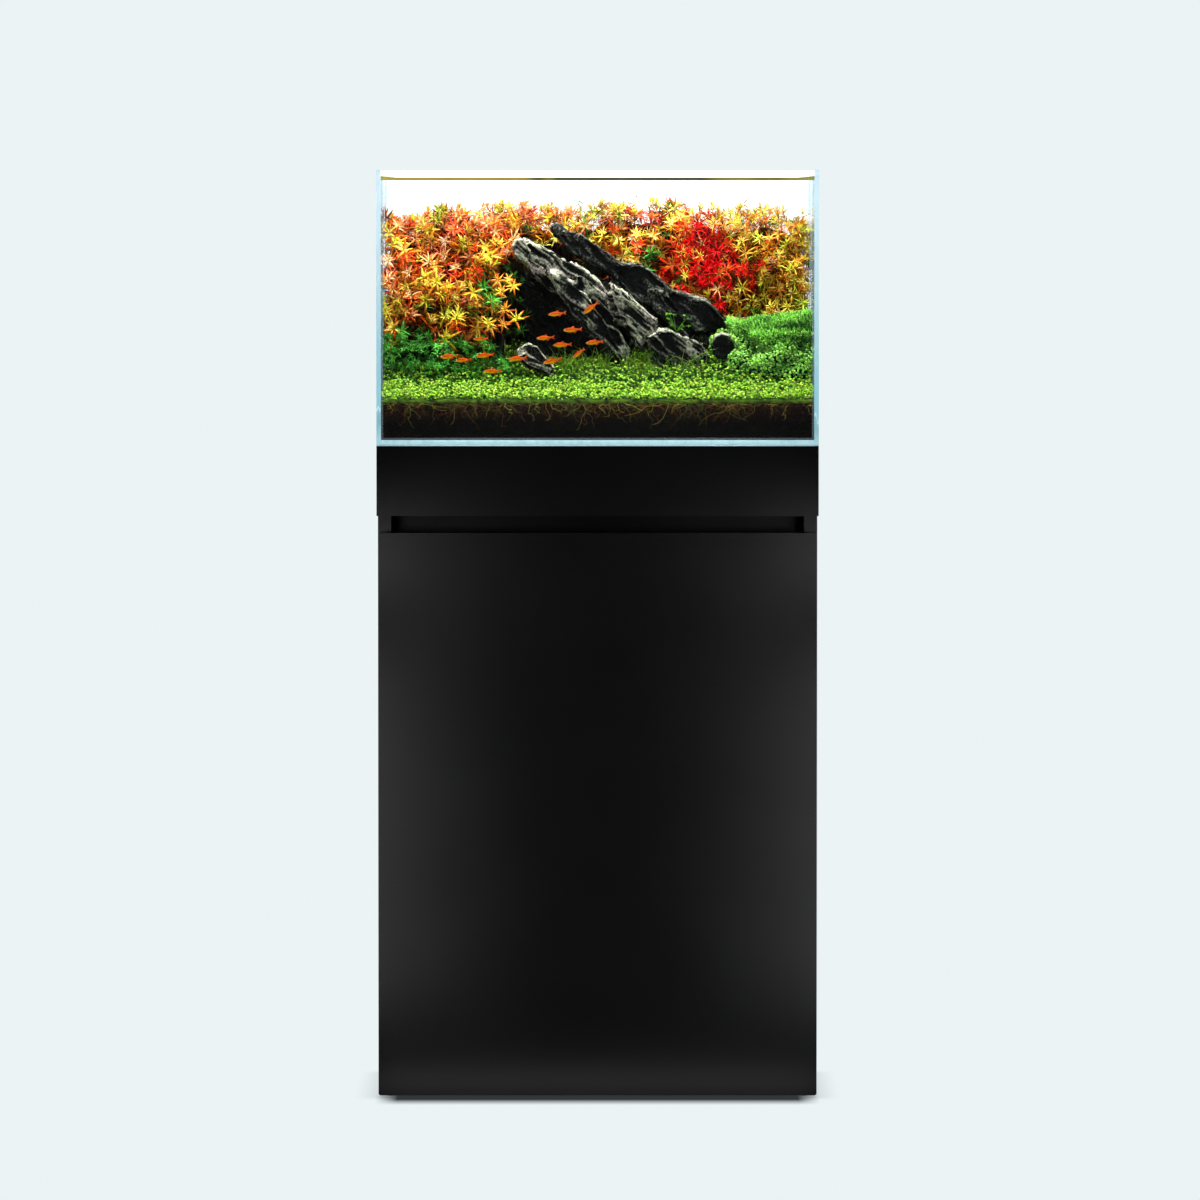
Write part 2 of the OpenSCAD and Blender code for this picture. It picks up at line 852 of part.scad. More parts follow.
side_panel_left();
side_panel_right();
bottom_panel();
top_panel();
back_panel();
front_apron();
groove_rail();
shelf();
shelf_pins();
cam_locks();
cam_bolts();
wood_dowels();
back_screws();
hose_grommets();
foot_inserts();
hinge_plate_lower();
hinge_plate_upper();
hinge_arm_lower();
hinge_arm_upper();
plate_screws();
arm_pins();
levelling_mat();
tank_bottom_pane();
tank_front_pane();
tank_back_pane();
tank_left_pane();
tank_right_pane();
corner_seams();
base_seams();
background_film();
soil();
water();
stone_main();
stone_spire();
stone_right();
stone_small();
stone_round();
stem_plants_left();
stem_plants_middle();
stem_plants_right();
carpet_plants();
moss_mound();
hairgrass();
fish();
hinge_link_lower();
hinge_link_upper();
door_panel();
hinge_cup_lower();
hinge_cup_upper();
cup_screws();
cup_pins();
door_bumpers();
foot_pad_front_left();
foot_pad_front_right();
foot_pad_rear_left();
foot_pad_rear_right();
foot_stem_front_left();
foot_stem_front_right();
foot_stem_rear_left();
foot_stem_rear_right();
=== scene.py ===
"""Looks for a planted aquarium on its cabinet stand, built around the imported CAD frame.

Lengths in this file are millimetres unless a name says otherwise; MM turns them into metres
when a mesh is made. Every piece stands on the body that carries the tank.
"""

import math

import bmesh
import bpy
import numpy as np
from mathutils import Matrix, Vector, noise

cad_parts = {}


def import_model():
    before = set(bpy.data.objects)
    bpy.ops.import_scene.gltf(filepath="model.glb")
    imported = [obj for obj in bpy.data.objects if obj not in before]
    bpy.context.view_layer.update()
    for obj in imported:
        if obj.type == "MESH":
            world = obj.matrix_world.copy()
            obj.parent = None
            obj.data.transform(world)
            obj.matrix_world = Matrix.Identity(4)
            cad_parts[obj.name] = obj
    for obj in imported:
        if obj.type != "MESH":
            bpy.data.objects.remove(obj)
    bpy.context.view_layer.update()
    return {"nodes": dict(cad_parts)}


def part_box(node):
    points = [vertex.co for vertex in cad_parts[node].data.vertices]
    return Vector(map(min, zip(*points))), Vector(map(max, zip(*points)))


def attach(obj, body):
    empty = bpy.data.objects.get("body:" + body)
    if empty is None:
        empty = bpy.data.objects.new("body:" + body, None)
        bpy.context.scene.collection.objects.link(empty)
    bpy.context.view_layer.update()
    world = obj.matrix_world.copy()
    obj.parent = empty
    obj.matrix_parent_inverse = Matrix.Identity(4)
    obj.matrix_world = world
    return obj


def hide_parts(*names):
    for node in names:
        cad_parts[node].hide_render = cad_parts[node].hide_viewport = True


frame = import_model()

MM = 0.001
TANK_BODY = "cabinet_and_tank"
SEED = 7


def box_mm(node):
    """Lowest and highest corner of a CAD node, in millimetres."""
    low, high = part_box(node)
    return np.array(low) / MM, np.array(high) / MM


# ---- Places, from the frame ----

GLASS_LOW, GLASS_HIGH = box_mm("tank_front_pane")
SOIL_LOW, SOIL_HIGH = box_mm("soil")
IN_X = SOIL_HIGH[0]
IN_FRONT = SOIL_LOW[1]
IN_BACK = SOIL_HIGH[1]
BED_Z = SOIL_LOW[2]
FRONT_Y = GLASS_LOW[1]
RIM_Z = GLASS_HIGH[2]
WATER_Z = box_mm("water")[1][2]
DOOR_LOW, DOOR_HIGH = box_mm("door_panel")

# The soil's surface: depth into the tank against height above the bottom pane
BED_Y = np.array([IN_FRONT, -60.0, 40.0, IN_BACK])
BED_H = np.array([50.0, 89.0, 114.0, 134.0])
CARPET_T = 9.0


def bed_height(y):
    """Height of the soil's surface at a depth, or at an array of depths."""
    return BED_Z + np.interp(y, BED_Y, BED_H)


# ---- Colours ----


def linear(r, g, b):
    """A colour given as 0 to 255 screen values, in linear light."""
    return tuple(
        c / 12.92 if c <= 0.04045 else ((c + 0.055) / 1.055) ** 2.4
        for c in (r / 255, g / 255, b / 255)
    )


PAGE = linear(235, 243, 245)


# ---- Node helpers ----


def add(tree, kind, inputs=None, **settings):
    """Adds a shader node, with its settings and the plain values or links of its inputs."""
    node = tree.nodes.new("ShaderNode" + kind)
    for name, value in settings.items():
        setattr(node, name, value)
    for name, value in (inputs or {}).items():
        if isinstance(value, bpy.types.NodeSocket):
            tree.links.new(value, node.inputs[name])
        else:
            node.inputs[name].default_value = value
    return node


def math_node(tree, operation, a, b=0.0, clamp=False):
    node = add(tree, "Math", {0: a, 1: b}, operation=operation, use_clamp=clamp)
    return node.outputs[0]


def position(tree):
    """The point in the piece's own frame, in metres."""
    return add(tree, "TexCoord").outputs["Object"]


def stretched(tree, scale):
    """The object's own coordinates, scaled along each axis."""
    return add(tree, "Mapping", {"Vector": position(tree), "Scale": scale}).outputs[0]


def noise_value(tree, scale, detail=2.0, roughness=0.5, vector=None):
    inputs = {"Scale": scale, "Detail": detail, "Roughness": roughness}
    inputs["Vector"] = vector or position(tree)
    return add(tree, "TexNoise", inputs).outputs[0]


def ramp(tree, factor, stops):
    """A colour ramp over (place, colour) pairs."""
    node = add(tree, "ValToRGB", {"Fac": factor})
    elements = node.color_ramp.elements
    while len(elements) < len(stops):
        elements.new(0.5)
    for element, (place, colour) in zip(elements, stops):
        element.position = place
        element.color = (*colour, 1)
    return node.outputs[0]


def span(tree, value, low, high, to_low=0.0, to_high=1.0):
    """Maps a value from one range to another, held at both ends."""
    inputs = {"Value": value, "From Min": low, "From Max": high}
    inputs.update({"To Min": to_low, "To Max": to_high})
    return add(tree, "MapRange", inputs, clamp=True).outputs[0]


def mix_colour(tree, factor, a, b, blend="MIX"):
    """Mixes two colours, each a socket or a plain colour, by a plain factor or a socket."""
    node = add(tree, "Mix", data_type="RGBA", blend_type=blend)
    values = (factor, a if isinstance(a, bpy.types.NodeSocket) else (*a, 1),
              b if isinstance(b, bpy.types.NodeSocket) else (*b, 1))
    for index, value in zip((0, 6, 7), values):
        if isinstance(value, bpy.types.NodeSocket):
            tree.links.new(value, node.inputs[index])
        else:
            node.inputs[index].default_value = value
    return node.outputs[2]


def mirrored(tree, least, most):
    """How much a clear sheet mirrors: least face on, most at a glancing angle, from either side."""
    facing_away = add(tree, "LayerWeight", {"Blend": 0.5}).outputs["Facing"]
    curve = math_node(tree, "POWER", facing_away, 5.0)
    return span(tree, curve, 0.0, 1.0, least, most)


def bump(tree, height, distance, strength=1.0):
    inputs = {"Height": height, "Distance": distance, "Strength": strength}
    return add(tree, "Bump", inputs).outputs[0]


def principled(name, colour, roughness=0.5, metallic=0.0, specular=0.5):
    """A new material and its tree and shader, with plain values to start from."""
    mat = bpy.data.materials.new(name)
    mat.use_nodes = True
    mat.diffuse_color = (*colour, 1)
    tree = mat.node_tree
    shader = tree.nodes["Principled BSDF"]
    shader.inputs["Base Color"].default_value = (*colour, 1)
    shader.inputs["Roughness"].default_value = roughness
    shader.inputs["Metallic"].default_value = metallic
    shader.inputs["Specular IOR Level"].default_value = specular
    return mat, tree, shader


def drive(tree, shader, **sockets):
    """Links sockets of the shader, named with underscores for spaces."""
    for name, socket in sockets.items():
        tree.links.new(socket, shader.inputs[name.replace("_", " ")])


# ---- Materials ----


def lacquer(name, depth, gloss, shine=0.12, painted_edge_highlight=0.07):
    """Satin black lacquer with a faint orange peel, and a painted highlight, lighter and greyer, along its
    level bevels.
    """
    colour = (depth, depth, depth * 1.04)
    mat, tree, shader = principled(name, colour, gloss, specular=shine)
    cloudy = noise_value(tree, 9, 3)
    light = tuple(c * 1.25 for c in colour)
    dark = tuple(c * 0.8 for c in colour)
    peel = noise_value(tree, 520, 2)
    normal = add(tree, "TexCoord").outputs["Normal"]
    tilt = math_node(tree, "ABSOLUTE", add(tree, "SeparateXYZ", {0: normal}).outputs["Z"])
    # Painted highlight: bevels that face up or down get a lighter base colour.
    highlight_edge_mask = math_node(
        tree, "MULTIPLY", span(tree, tilt, 0.15, 0.45), span(tree, tilt, 0.97, 0.9)
    )
    flat = ramp(tree, cloudy, [(0.35, dark), (0.65, light)])
    drive(
        tree, shader,
        Base_Color=mix_colour(tree, highlight_edge_mask, flat, (painted_edge_highlight, painted_edge_highlight, painted_edge_highlight)),
        Roughness=span(tree, peel, 0.3, 0.7, gloss - 0.02, gloss + 0.02),
        Normal=bump(tree, peel, 0.00002),
    )
    return mat


def brushed_metal(name, colour, roughness=0.32):
    """Plated steel, with fine drawn lines and cloudy roughness."""
    mat, tree, shader = principled(name, colour, roughness, metallic=1.0)
    lines = noise_value(tree, 60, 2, vector=stretched(tree, (1, 18, 18)))
    cloudy = noise_value(tree, 220, 3)
    drive(
        tree, shader,
        Base_Color=ramp(tree, lines, [
            (0.3, tuple(c * 0.8 for c in colour)), (0.7, tuple(min(1, c * 1.12) for c in colour))
        ]),
        Roughness=span(tree, cloudy, 0.3, 0.7, roughness - 0.08, roughness + 0.1),
        Normal=bump(tree, lines, 0.00003),
    )
    return mat


def moulded_plastic(name, colour, roughness=0.45):
    """Moulded plastic or rubber with a fine spark-eroded grain."""
    mat, tree, shader = principled(name, colour, roughness)
    grain = noise_value(tree, 1500, 2)
    cloudy = noise_value(tree, 60, 2)
    drive(
        tree, shader,
        Base_Color=ramp(tree, cloudy, [
            (0.3, tuple(c * 0.85 for c in colour)), (0.7, tuple(min(1, c * 1.1) for c in colour))
        ]),
        Roughness=span(tree, grain, 0.3, 0.7, roughness - 0.06, roughness + 0.08),
        Normal=bump(tree, grain, 0.00004),
    )
    return mat


def beech(name):
    """Turned beech, with its grain along the dowel."""
    mat, tree, shader = principled(name, linear(196, 158, 112), 0.6)
    grain = noise_value(tree, 120, 4, vector=stretched(tree, (1, 1, 0.12)))
    drive(
        tree, shader,
        Base_Color=ramp(tree, grain, [
            (0.3, linear(170, 128, 84)), (0.7, linear(214, 180, 136))
        ]),
        Normal=bump(tree, grain, 0.0001),
    )
    return mat


def foam(name):
    """Closed-cell foam: pale, with small cells."""
    mat, tree, shader = principled(name, linear(170, 205, 212), 0.8)
    cells = add(tree, "TexVoronoi", {"Vector": position(tree), "Scale": 900}).outputs[0]
    drive(
        tree, shader,
        Base_Color=ramp(tree, cells, [(0.2, linear(188, 220, 226)), (0.8, linear(140, 178, 188))]),
        Normal=bump(tree, cells, 0.0002),
    )
    return mat


def white_film(name):
    """Opal film with a painted glow: it gives off light towards the tank, though no lamp stands behind it.
    """
    mat, tree, shader = principled(name, (0.9, 0.91, 0.92), 0.6)
    normal = add(tree, "TexCoord").outputs["Normal"]
    towards_tank = math_node(
        tree, "GREATER_THAN",
        math_node(tree, "MULTIPLY", add(tree, "SeparateXYZ", {0: normal}).outputs["Y"], -1.0), 0.5,
    )
    cloudy = noise_value(tree, 5, 2)
    shader.inputs["Emission Color"].default_value = (0.985, 0.995, 1, 1)
    drive(
        tree, shader,
        Base_Color=ramp(tree, cloudy, [(0.3, (0.86, 0.88, 0.89)), (0.7, (0.93, 0.93, 0.94))]),
        Emission_Strength=math_node(tree, "MULTIPLY", towards_tank, FILM_PAINTED_GLOW),
    )
    return mat


def pane_glass(name, thin_axis):
    """Sheet glass: clear across its thin axis, pale blue where it is looked into edge on, with painted light
    on those edges: they glow, grow lighter towards the top and carry a thin white highlight, and edges that
    face up are painted darker.
    """
    mat = bpy.data.materials.new(name)
    mat.use_nodes = True
    mat.diffuse_color = (0.75, 0.9, 0.93, 0.4)
    tree = mat.node_tree
    edge = tree.nodes["Principled BSDF"]
    out = tree.nodes["Material Output"]
    normal = add(tree, "SeparateXYZ", {0: add(tree, "TexCoord").outputs["Normal"]}).outputs
    along = normal[thin_axis]
    is_face = math_node(tree, "GREATER_THAN", math_node(tree, "ABSOLUTE", along), 0.9)
    height = add(tree, "SeparateXYZ", {0: position(tree)}).outputs["Z"]
    level = span(tree, height, GLASS_LOW[2] * MM, RIM_Z * MM)
    streaks = noise_value(tree, 40, 3, vector=stretched(tree, (3, 3, 0.35)))
    level = math_node(tree, "ADD", level, span(tree, streaks, 0.3, 0.7, -0.03, 0.03))
    tint = ramp(tree, level, EDGE_TINTS_AND_PAINTED_LIGHT)
    edge.inputs["Roughness"].default_value = 0.15
    edge.inputs["Emission Strength"].default_value = EDGE_PAINTED_GLOW
    # Painted shade: edges that face up get a darker base colour.
    edge_colour_shaded_on_top = mix_colour(tree, span(tree, normal["Z"], 0.4, 0.9, 0.0, 0.75), tint, (0.02, 0.1, 0.12))
    drive(tree, edge, Base_Color=edge_colour_shaded_on_top, Emission_Color=tint)
    clear = add(tree, "BsdfTransparent", {"Color": (0.975, 0.988, 0.985, 1)})
    shine = add(tree, "BsdfGlossy", {"Color": (1, 1, 1, 1), "Roughness": 0.02})
    glance = mirrored(tree, 0.02, 0.9)
    face = add(tree, "MixShader", {0: glance, 1: clear.outputs[0], 2: shine.outputs[0]})
    both = add(tree, "MixShader", {0: is_face, 1: edge.outputs[0], 2: face.outputs[0]})
    tree.links.new(both.outputs[0], out.inputs["Surface"])
    return mat


def clear_silicone(name):
    """Cured clear silicone: milky and soft, with small trapped bubbles."""
    mat = bpy.data.materials.new(name)
    mat.use_nodes = True
    mat.diffuse_color = (0.85, 0.9, 0.9, 0.5)
    tree = mat.node_tree
    skin = tree.nodes["Principled BSDF"]
    out = tree.nodes["Material Output"]
    bubbles = noise_value(tree, 700, 2)
    skin.inputs["Roughness"].default_value = 0.35
    drive(tree, skin, Base_Color=ramp(tree, bubbles, [
        (0.4, linear(196, 222, 228)), (0.62, linear(232, 242, 244))
    ]))
    clear = add(tree, "BsdfTransparent", {"Color": (0.93, 0.97, 0.97, 1)})
    mixed = add(tree, "MixShader", {0: 0.1, 1: clear.outputs[0], 2: skin.outputs[0]})
    tree.links.new(mixed.outputs[0], out.inputs["Surface"])
    return mat


def clear_water(name):
    """Still water: almost no tint, with a faint shine on its skin."""
    mat = bpy.data.materials.new(name)
    mat.use_nodes = True
    mat.diffuse_color = (0.8, 0.93, 0.95, 0.2)
    tree = mat.node_tree
    tree.nodes.remove(tree.nodes["Principled BSDF"])
    out = tree.nodes["Material Output"]
    ripple = bump(tree, noise_value(tree, 30, 2), 0.0006)
    clear = add(tree, "BsdfTransparent", {"Color": (0.982, 0.992, 0.997, 1)})
    shine = add(tree, "BsdfGlossy", {"Roughness": 0.03, "Normal": ripple})
    normal = add(tree, "TexCoord").outputs["Normal"]
    up = add(tree, "SeparateXYZ", {0: normal}).outputs["Z"]
    level = math_node(tree, "GREATER_THAN", math_node(tree, "ABSOLUTE", up), 0.5)
    on_top = math_node(tree, "MULTIPLY", mirrored(tree, 0.015, 0.12), level)
    mixed = add(tree, "MixShader", {0: on_top, 1: clear.outputs[0], 2: shine.outputs[0]})
    tree.links.new(mixed.outputs[0], out.inputs["Surface"])
    return mat


def meniscus(name):
    """The curved rim of the water, coloured with a painted reflection of the planting below it: gold near
    the ends and olive in the middle.
    """
    mat, tree, shader = principled(name, linear(80, 80, 52), 0.5, specular=0.2)
    across = add(tree, "SeparateXYZ", {0: position(tree)}).outputs["X"]
    wobble = span(tree, noise_value(tree, 22, 3), 0.3, 0.7, -0.12, 0.12)
    place = math_node(tree, "ADD", span(tree, across, -IN_X * MM, IN_X * MM), wobble)
    drive(tree, shader, Base_Color=ramp(tree, place, [
        (0.0, linear(214, 186, 84)), (0.3, linear(190, 164, 66)), (0.45, linear(96, 96, 64)),
        (0.7, linear(88, 92, 62)), (0.85, linear(150, 140, 56)), (1.0, linear(176, 166, 80))
    ]))
    return mat


def living(name, roughness=0.5, sheen=0.0, lift=1.0):
    """Leaf or stem: colour from the mesh's own tint, broken up by small blotches, with veins in its
    roughness.
    """
    mat, tree, shader = principled(name, (0.4, 0.4, 0.1), roughness, specular=0.3)
    tint = add(tree, "Attribute", attribute_name="tint").outputs["Color"]
    blotch = noise_value(tree, 260, 2)
    veins = noise_value(tree, 900, 2)
    bright = span(tree, blotch, 0.3, 0.7, 0.82 * lift, 1.16 * lift)
    shaded = add(tree, "HueSaturation", {"Color": tint, "Value": bright, "Saturation": 1.05})
    drive(
        tree, shader,
        Base_Color=shaded.outputs[0],
        Roughness=span(tree, veins, 0.3, 0.7, roughness - 0.1, roughness + 0.1),
    )
    shader.inputs["Sheen Weight"].default_value = sheen
    return mat


def rock(name):
    """Layered grey limestone, shaded from the mesh's tint: black in its clefts and pale on its ridges,
    partly its own colour and partly painted shade and light, with warm and olive stains.
    """
    mat, tree, shader = principled(name, (0.03, 0.03, 0.032), 0.7, specular=0.12)
    shade = add(tree, "Attribute", attribute_name="tint").outputs["Color"]
    shade = add(tree, "SeparateColor", {0: shade}).outputs[0]
    grain = noise_value(tree, 330, 5, 0.7)
    patches = noise_value(tree, 38, 3)
    place = math_node(tree, "ADD", shade, span(tree, grain, 0.32, 0.68, -0.26, 0.34))
    base = ramp(tree, place, [
        (0.0, linear(3, 3, 4)), (0.26, linear(24, 27, 28)), (0.45, linear(80, 83, 80)),
        (0.68, linear(150, 151, 144)), (1.0, linear(216, 214, 206))
    ])
    warm = mix_colour(tree, 1.0, base, (1.0, 0.86, 0.84), "MULTIPLY")
    olive = mix_colour(tree, 1.0, base, (0.93, 1.0, 0.74), "MULTIPLY")
    stained = mix_colour(tree, span(tree, patches, 0.35, 0.65), warm, olive)
    drive(
        tree, shader,
        Base_Color=stained,
        Roughness=span(tree, grain, 0.3, 0.7, 0.55, 0.85),
        Normal=bump(tree, grain, 0.0012),
    )
    return mat


def baked_soil(name):
    """Fired clay granules, wet and almost black, with browner ones near the top."""
    mat, tree, shader = principled(name, linear(28, 20, 16), 0.8, specular=0.02)
    tint = add(tree, "Attribute", attribute_name="tint").outputs["Color"]
    dust = noise_value(tree, 700, 3)
    bright = span(tree, dust, 0.3, 0.7, 0.6, 1.3)
    shaded = add(tree, "HueSaturation", {"Color": tint, "Value": bright})
    drive(
        tree, shader,
        Base_Color=shaded.outputs[0],
        Roughness=span(tree, dust, 0.3, 0.7, 0.5, 0.75),
        Normal=bump(tree, dust, 0.0003),
    )
    return mat


# ---- Mesh helpers ----


class Pile:
    """Gathers vertices, faces and tints of many small shapes for one mesh."""

    def __init__(self):
        self.points, self.tints, self.faces, self.slots, self.count = [], [], [], [], 0

    def put(self, points, tints, faces, slot=0):
        """points and tints are (n, 3); faces is a list of (m, corners) index arrays."""
        for block in faces:
            block = np.asarray(block)
            self.faces.append(block + self.count)
            self.slots.append(np.full(len(block), slot))
        self.points.append(points)
        self.tints.append(tints)
        self.count += len(points)

    def put_many(self, points, tints, faces, slot=0):
        """points and tints are (shapes, n, 3), and every shape has the same faces."""
        shapes, n = points.shape[:2]
        start = (np.arange(shapes) * n)[:, None, None]
        self.put(
            points.reshape(-1, 3), tints.reshape(-1, 3),
            [(np.asarray(f)[None] + start).reshape(-1, np.asarray(f).shape[1]) for f in faces], slot,
        )

    def mesh(self, name, smooth=True):
        points = np.concatenate(self.points) * MM
        tints = np.concatenate(self.tints)
        me = bpy.data.meshes.new(name)
        corners = np.concatenate([f.ravel() for f in self.faces]).astype(np.int32)
        totals = np.concatenate([np.full(len(f), f.shape[1]) for f in self.faces]).astype(np.int32)
        me.vertices.add(len(points))
        me.vertices.foreach_set("co", points.astype(np.float32).ravel())
        me.loops.add(len(corners))
        me.loops.foreach_set("vertex_index", corners)
        me.polygons.add(len(totals))
        starts = np.concatenate([[0], np.cumsum(totals)[:-1]]).astype(np.int32)
        me.polygons.foreach_set("loop_start", starts)
        me.polygons.foreach_set("material_index", np.concatenate(self.slots).astype(np.int32))
        me.polygons.foreach_set("use_smooth", np.full(len(totals), smooth))
        me.update(calc_edges=True)
        me.validate()
        colours = me.color_attributes.new("tint", "FLOAT_COLOR", "POINT")
        rgba = np.ones((len(points), 4), np.float32)
        rgba[:, :3] = tints
        colours.data.foreach_set("color", rgba.ravel())
        return me


def outward(me):
    """Turns the faces of a closed mesh so that they all look out."""
    bm = bmesh.new()
    bm.from_mesh(me)
    bmesh.ops.recalc_face_normals(bm, faces=bm.faces)
    bm.to_mesh(me)
    bm.free()


def piece(name, me, materials, stands_for=()):
    """Links a finished mesh as a piece of the tank."""
    ob = bpy.data.objects.new(name, me)
    bpy.context.scene.collection.objects.link(ob)
    for mat in materials:
        me.materials.append(mat)
    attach(ob, TANK_BODY)
    if stands_for:
        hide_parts(*stands_for)
    return ob


def unit(v):
    return v / np.maximum(np.linalg.norm(v, axis=-1, keepdims=True), 1e-9)


def side_of(axis, rng):
    """A random unit vector square to each axis."""
    v = np.cross(axis, unit(rng.normal(size=axis.shape)))
    return unit(v)


# One blade: a base point, two rings of four points, and a tip
BLADE_TRIS = (
    [[0, 1, 2], [0, 2, 3], [0, 3, 4], [0, 4, 1]]
    + [[5, 9, 6], [6, 9, 7], [7, 9, 8], [8, 9, 5]]
)
BLADE_QUADS = [[1, 5, 6, 2], [2, 6, 7, 3], [3, 7, 8, 4], [4, 8, 5, 1]]


def blades(pile, base, along, upper, length, width, root_rgb, tip_rgb, droop=0.25, slot=0,
           belly=(0.3, 0.68), widths=(1.0, 0.72), ridge=0.12):
    """Lance-shaped leaves, closed and slightly folded along the midrib. All arrays are per leaf."""
    across = unit(np.cross(along, upper))
    upper = np.cross(across, along)
    length = np.asarray(length)[:, None]
    half = np.asarray(width)[:, None] / 2
    droop = np.broadcast_to(droop, (len(base),))[:, None]

    def centre(t):
        return base + along * length * t + upper * length * (0.35 * t - t * t) * droop

    points = [base]
    for t, w in zip(belly, widths):
        c = centre(t)
        h = half * w
        points += [c - across * h + upper * h * 0.25, c + upper * ridge * half * w,
                   c + across * h + upper * h * 0.25, c - upper * (ridge * half * w + 0.12)]
    points.append(centre(1.0))
    points = np.stack(points, 1)
    root = np.asarray(root_rgb)[:, None, :]
    tip = np.asarray(tip_rgb)[:, None, :]
    share = np.array([0.0] + [belly[0]] * 4 + [belly[1]] * 4 + [1.0])[None, :, None] ** 0.8
    pile.put_many(points, root + (tip - root) * share, [BLADE_TRIS, BLADE_QUADS], slot)


ROUND_SIDES = 5
ROUND_TRIS = (
    [[i, (i + 1) % ROUND_SIDES, ROUND_SIDES] for i in range(ROUND_SIDES)]
    + [[(i + 1) % ROUND_SIDES, i, ROUND_SIDES + 1] for i in range(ROUND_SIDES)]
)


def round_leaves(pile, centre, upper, size, rgb, rng, slot=0):
    """Small round leaves, cupped and closed. size is the leaf's length."""
    first = side_of(upper, rng)
    second = np.cross(upper, first)
    radius = np.asarray(size)[:, None] / 2
    points = []
    for i in range(ROUND_SIDES):
        a = 2 * math.pi * i / ROUND_SIDES
        points.append(centre + (first * math.cos(a) + second * math.sin(a) * 0.8) * radius)
    points.append(centre - upper * radius * 0.22)
    points.append(centre - upper * (radius * 0.22 + 0.25))
    points = np.stack(points, 1)
    tints = np.repeat(np.asarray(rgb)[:, None, :], ROUND_SIDES + 2, 1)
    tints[:, ROUND_SIDES:, :] *= 0.8
    pile.put_many(points, tints, [ROUND_TRIS], slot)


def threads(pile, paths, radius, rgb, slot=0):
    """Thin three-sided tubes along paths of shape (threads, points, 3), closed at both ends."""
    count, n = paths.shape[:2]
    along = unit(np.gradient(paths, axis=1))
    first = unit(np.cross(along, np.array([0.13, 0.98, 0.2])))
    second = np.cross(along, first)
    taper = np.linspace(1.0, 0.4, n)[None, :, None]
    radius = np.asarray(radius).reshape(-1, 1, 1)
    rings = []
    for i in range(3):
        a = 2 * math.pi * i / 3
        rings.append(paths + (first * math.cos(a) + second * math.sin(a)) * radius * taper)
    points = np.stack(rings, 2).reshape(count, n * 3, 3)
    quads = [
        [3 * k + i, 3 * k + (i + 1) % 3, 3 * k + 3 + (i + 1) % 3, 3 * k + 3 + i]
        for k in range(n - 1) for i in range(3)
    ]
    caps = [[2, 1, 0], [3 * n - 3, 3 * n - 2, 3 * n - 1]]
    tints = np.repeat(np.asarray(rgb)[:, None, :], n * 3, 1)
    pile.put_many(points, tints, [quads, caps], slot)


def jitter_rgb(rgb, rng, amount=0.18):
    """Each colour, a little lighter or darker and shifted in hue."""
    rgb = np.asarray(rgb, float)
    level = np.exp(rng.normal(0, amount, (len(rgb), 1)))
    hue = np.exp(rng.normal(0, amount * 0.4, rgb.shape))
    return np.clip(rgb * level * hue, 0, 1)


# ---- Stones ----

# Slabs of each stone: front depth, back depth, and the outline that they share in x and z
MAIN_SLABS = [
    (-22, 6, [(-119, 1160), (-107, 1172), (-96, 1170), (-83, 1159), (-38, 1134), (-22, 1133),
              (-9, 1122), (8, 1109), (19, 1092), (27, 1064), (40, 1042), (54, 1014), (50, 990),
              (20, 990), (-30, 1060), (-90, 1112)]),
    (-34, 0, [(-121, 1158), (-112, 1170), (-101, 1171), (-88, 1152), (-94, 1130), (-112, 1136)]),
    (-46, -8, [(-78, 1131), (-60, 1129), (-42, 1118), (-18, 1100), (12, 1060), (42, 1006),
               (44, 985), (22, 985), (-12, 1028), (-52, 1084)]),
    (-34, 4, [(-36, 1126), (-20, 1124), (6, 1100), (24, 1064), (50, 1012), (46, 990), (28, 1000),
              (0, 1050), (-30, 1098)]),
    (-40, 0, [(14, 1111), (36, 1101), (66, 1072), (84, 1057), (84, 1036), (66, 1010), (52, 1016),
              (34, 1050), (20, 1080)]),
    (-8, 6, [(-112, 1128), (-60, 1092), (0, 1030), (12, 985), (-92, 985), (-112, 1050)]),
]
SPIRE_SLABS = [
    (18, 44, [(-69, 1183), (-60, 1192), (-49, 1190), (-38, 1180), (-46, 1160), (-62, 1170)]),
    (14, 46, [(-62, 1176), (-46, 1184), (-22, 1176), (-9, 1167), (3, 1157), (21, 1146),
              (42, 1128), (30, 1104), (0, 1122), (-40, 1146)]),
    (20, 50, [(24, 1138), (45, 1137), (66, 1133), (82, 1120), (97, 1107), (112, 1088),
              (92, 1058), (46, 1082), (14, 1112)]),
    (12, 50, [(84, 1106), (112, 1096), (129, 1090), (149, 1087), (164, 1074), (177, 1061),
              (187, 1052), (190, 1040), (164, 1034), (120, 1038), (92, 1058)]),
    (4, 34, [(64, 1101), (80, 1103), (99, 1092), (122, 1068), (146, 1038), (124, 1024),
             (90, 1050), (68, 1078)]),
    (24, 50, [(-14, 1122), (60, 1092), (150, 1052), (190, 1036), (186, 996), (20, 996),
              (0, 1060)]),
]
RIGHT_SLABS = [
    (-54, -22, [(64, 1036), (84, 1047), (98, 1047), (112, 1040), (132, 1029), (150, 1018),
                (148, 974), (92, 974), (72, 992)]),
    (-46, -18, [(96, 1034), (126, 1036), (146, 1026), (156, 1006), (150, 975), (100, 975)]),
]
SMALL_SLABS = [
    (-88, -66, [(-112, 1016), (-104, 1025), (-94, 1028), (-82, 1023), (-73, 1012), (-61, 998),
                (-56, 990), (-62, 980), (-90, 984), (-110, 1002)]),
    (-94, -78, [(-112, 1010), (-98, 1016), (-84, 1008), (-62, 990), (-58, 980), (-84, 984)]),
]
ROUND_SLABS = [
    (-53, -25, [(157, 1010), (154, 1022), (160, 1036), (170, 1041), (182, 1038), (189, 1024),
                (186, 1008), (176, 1002), (164, 1003)]),
]
GRAIN_DEG = -41.0


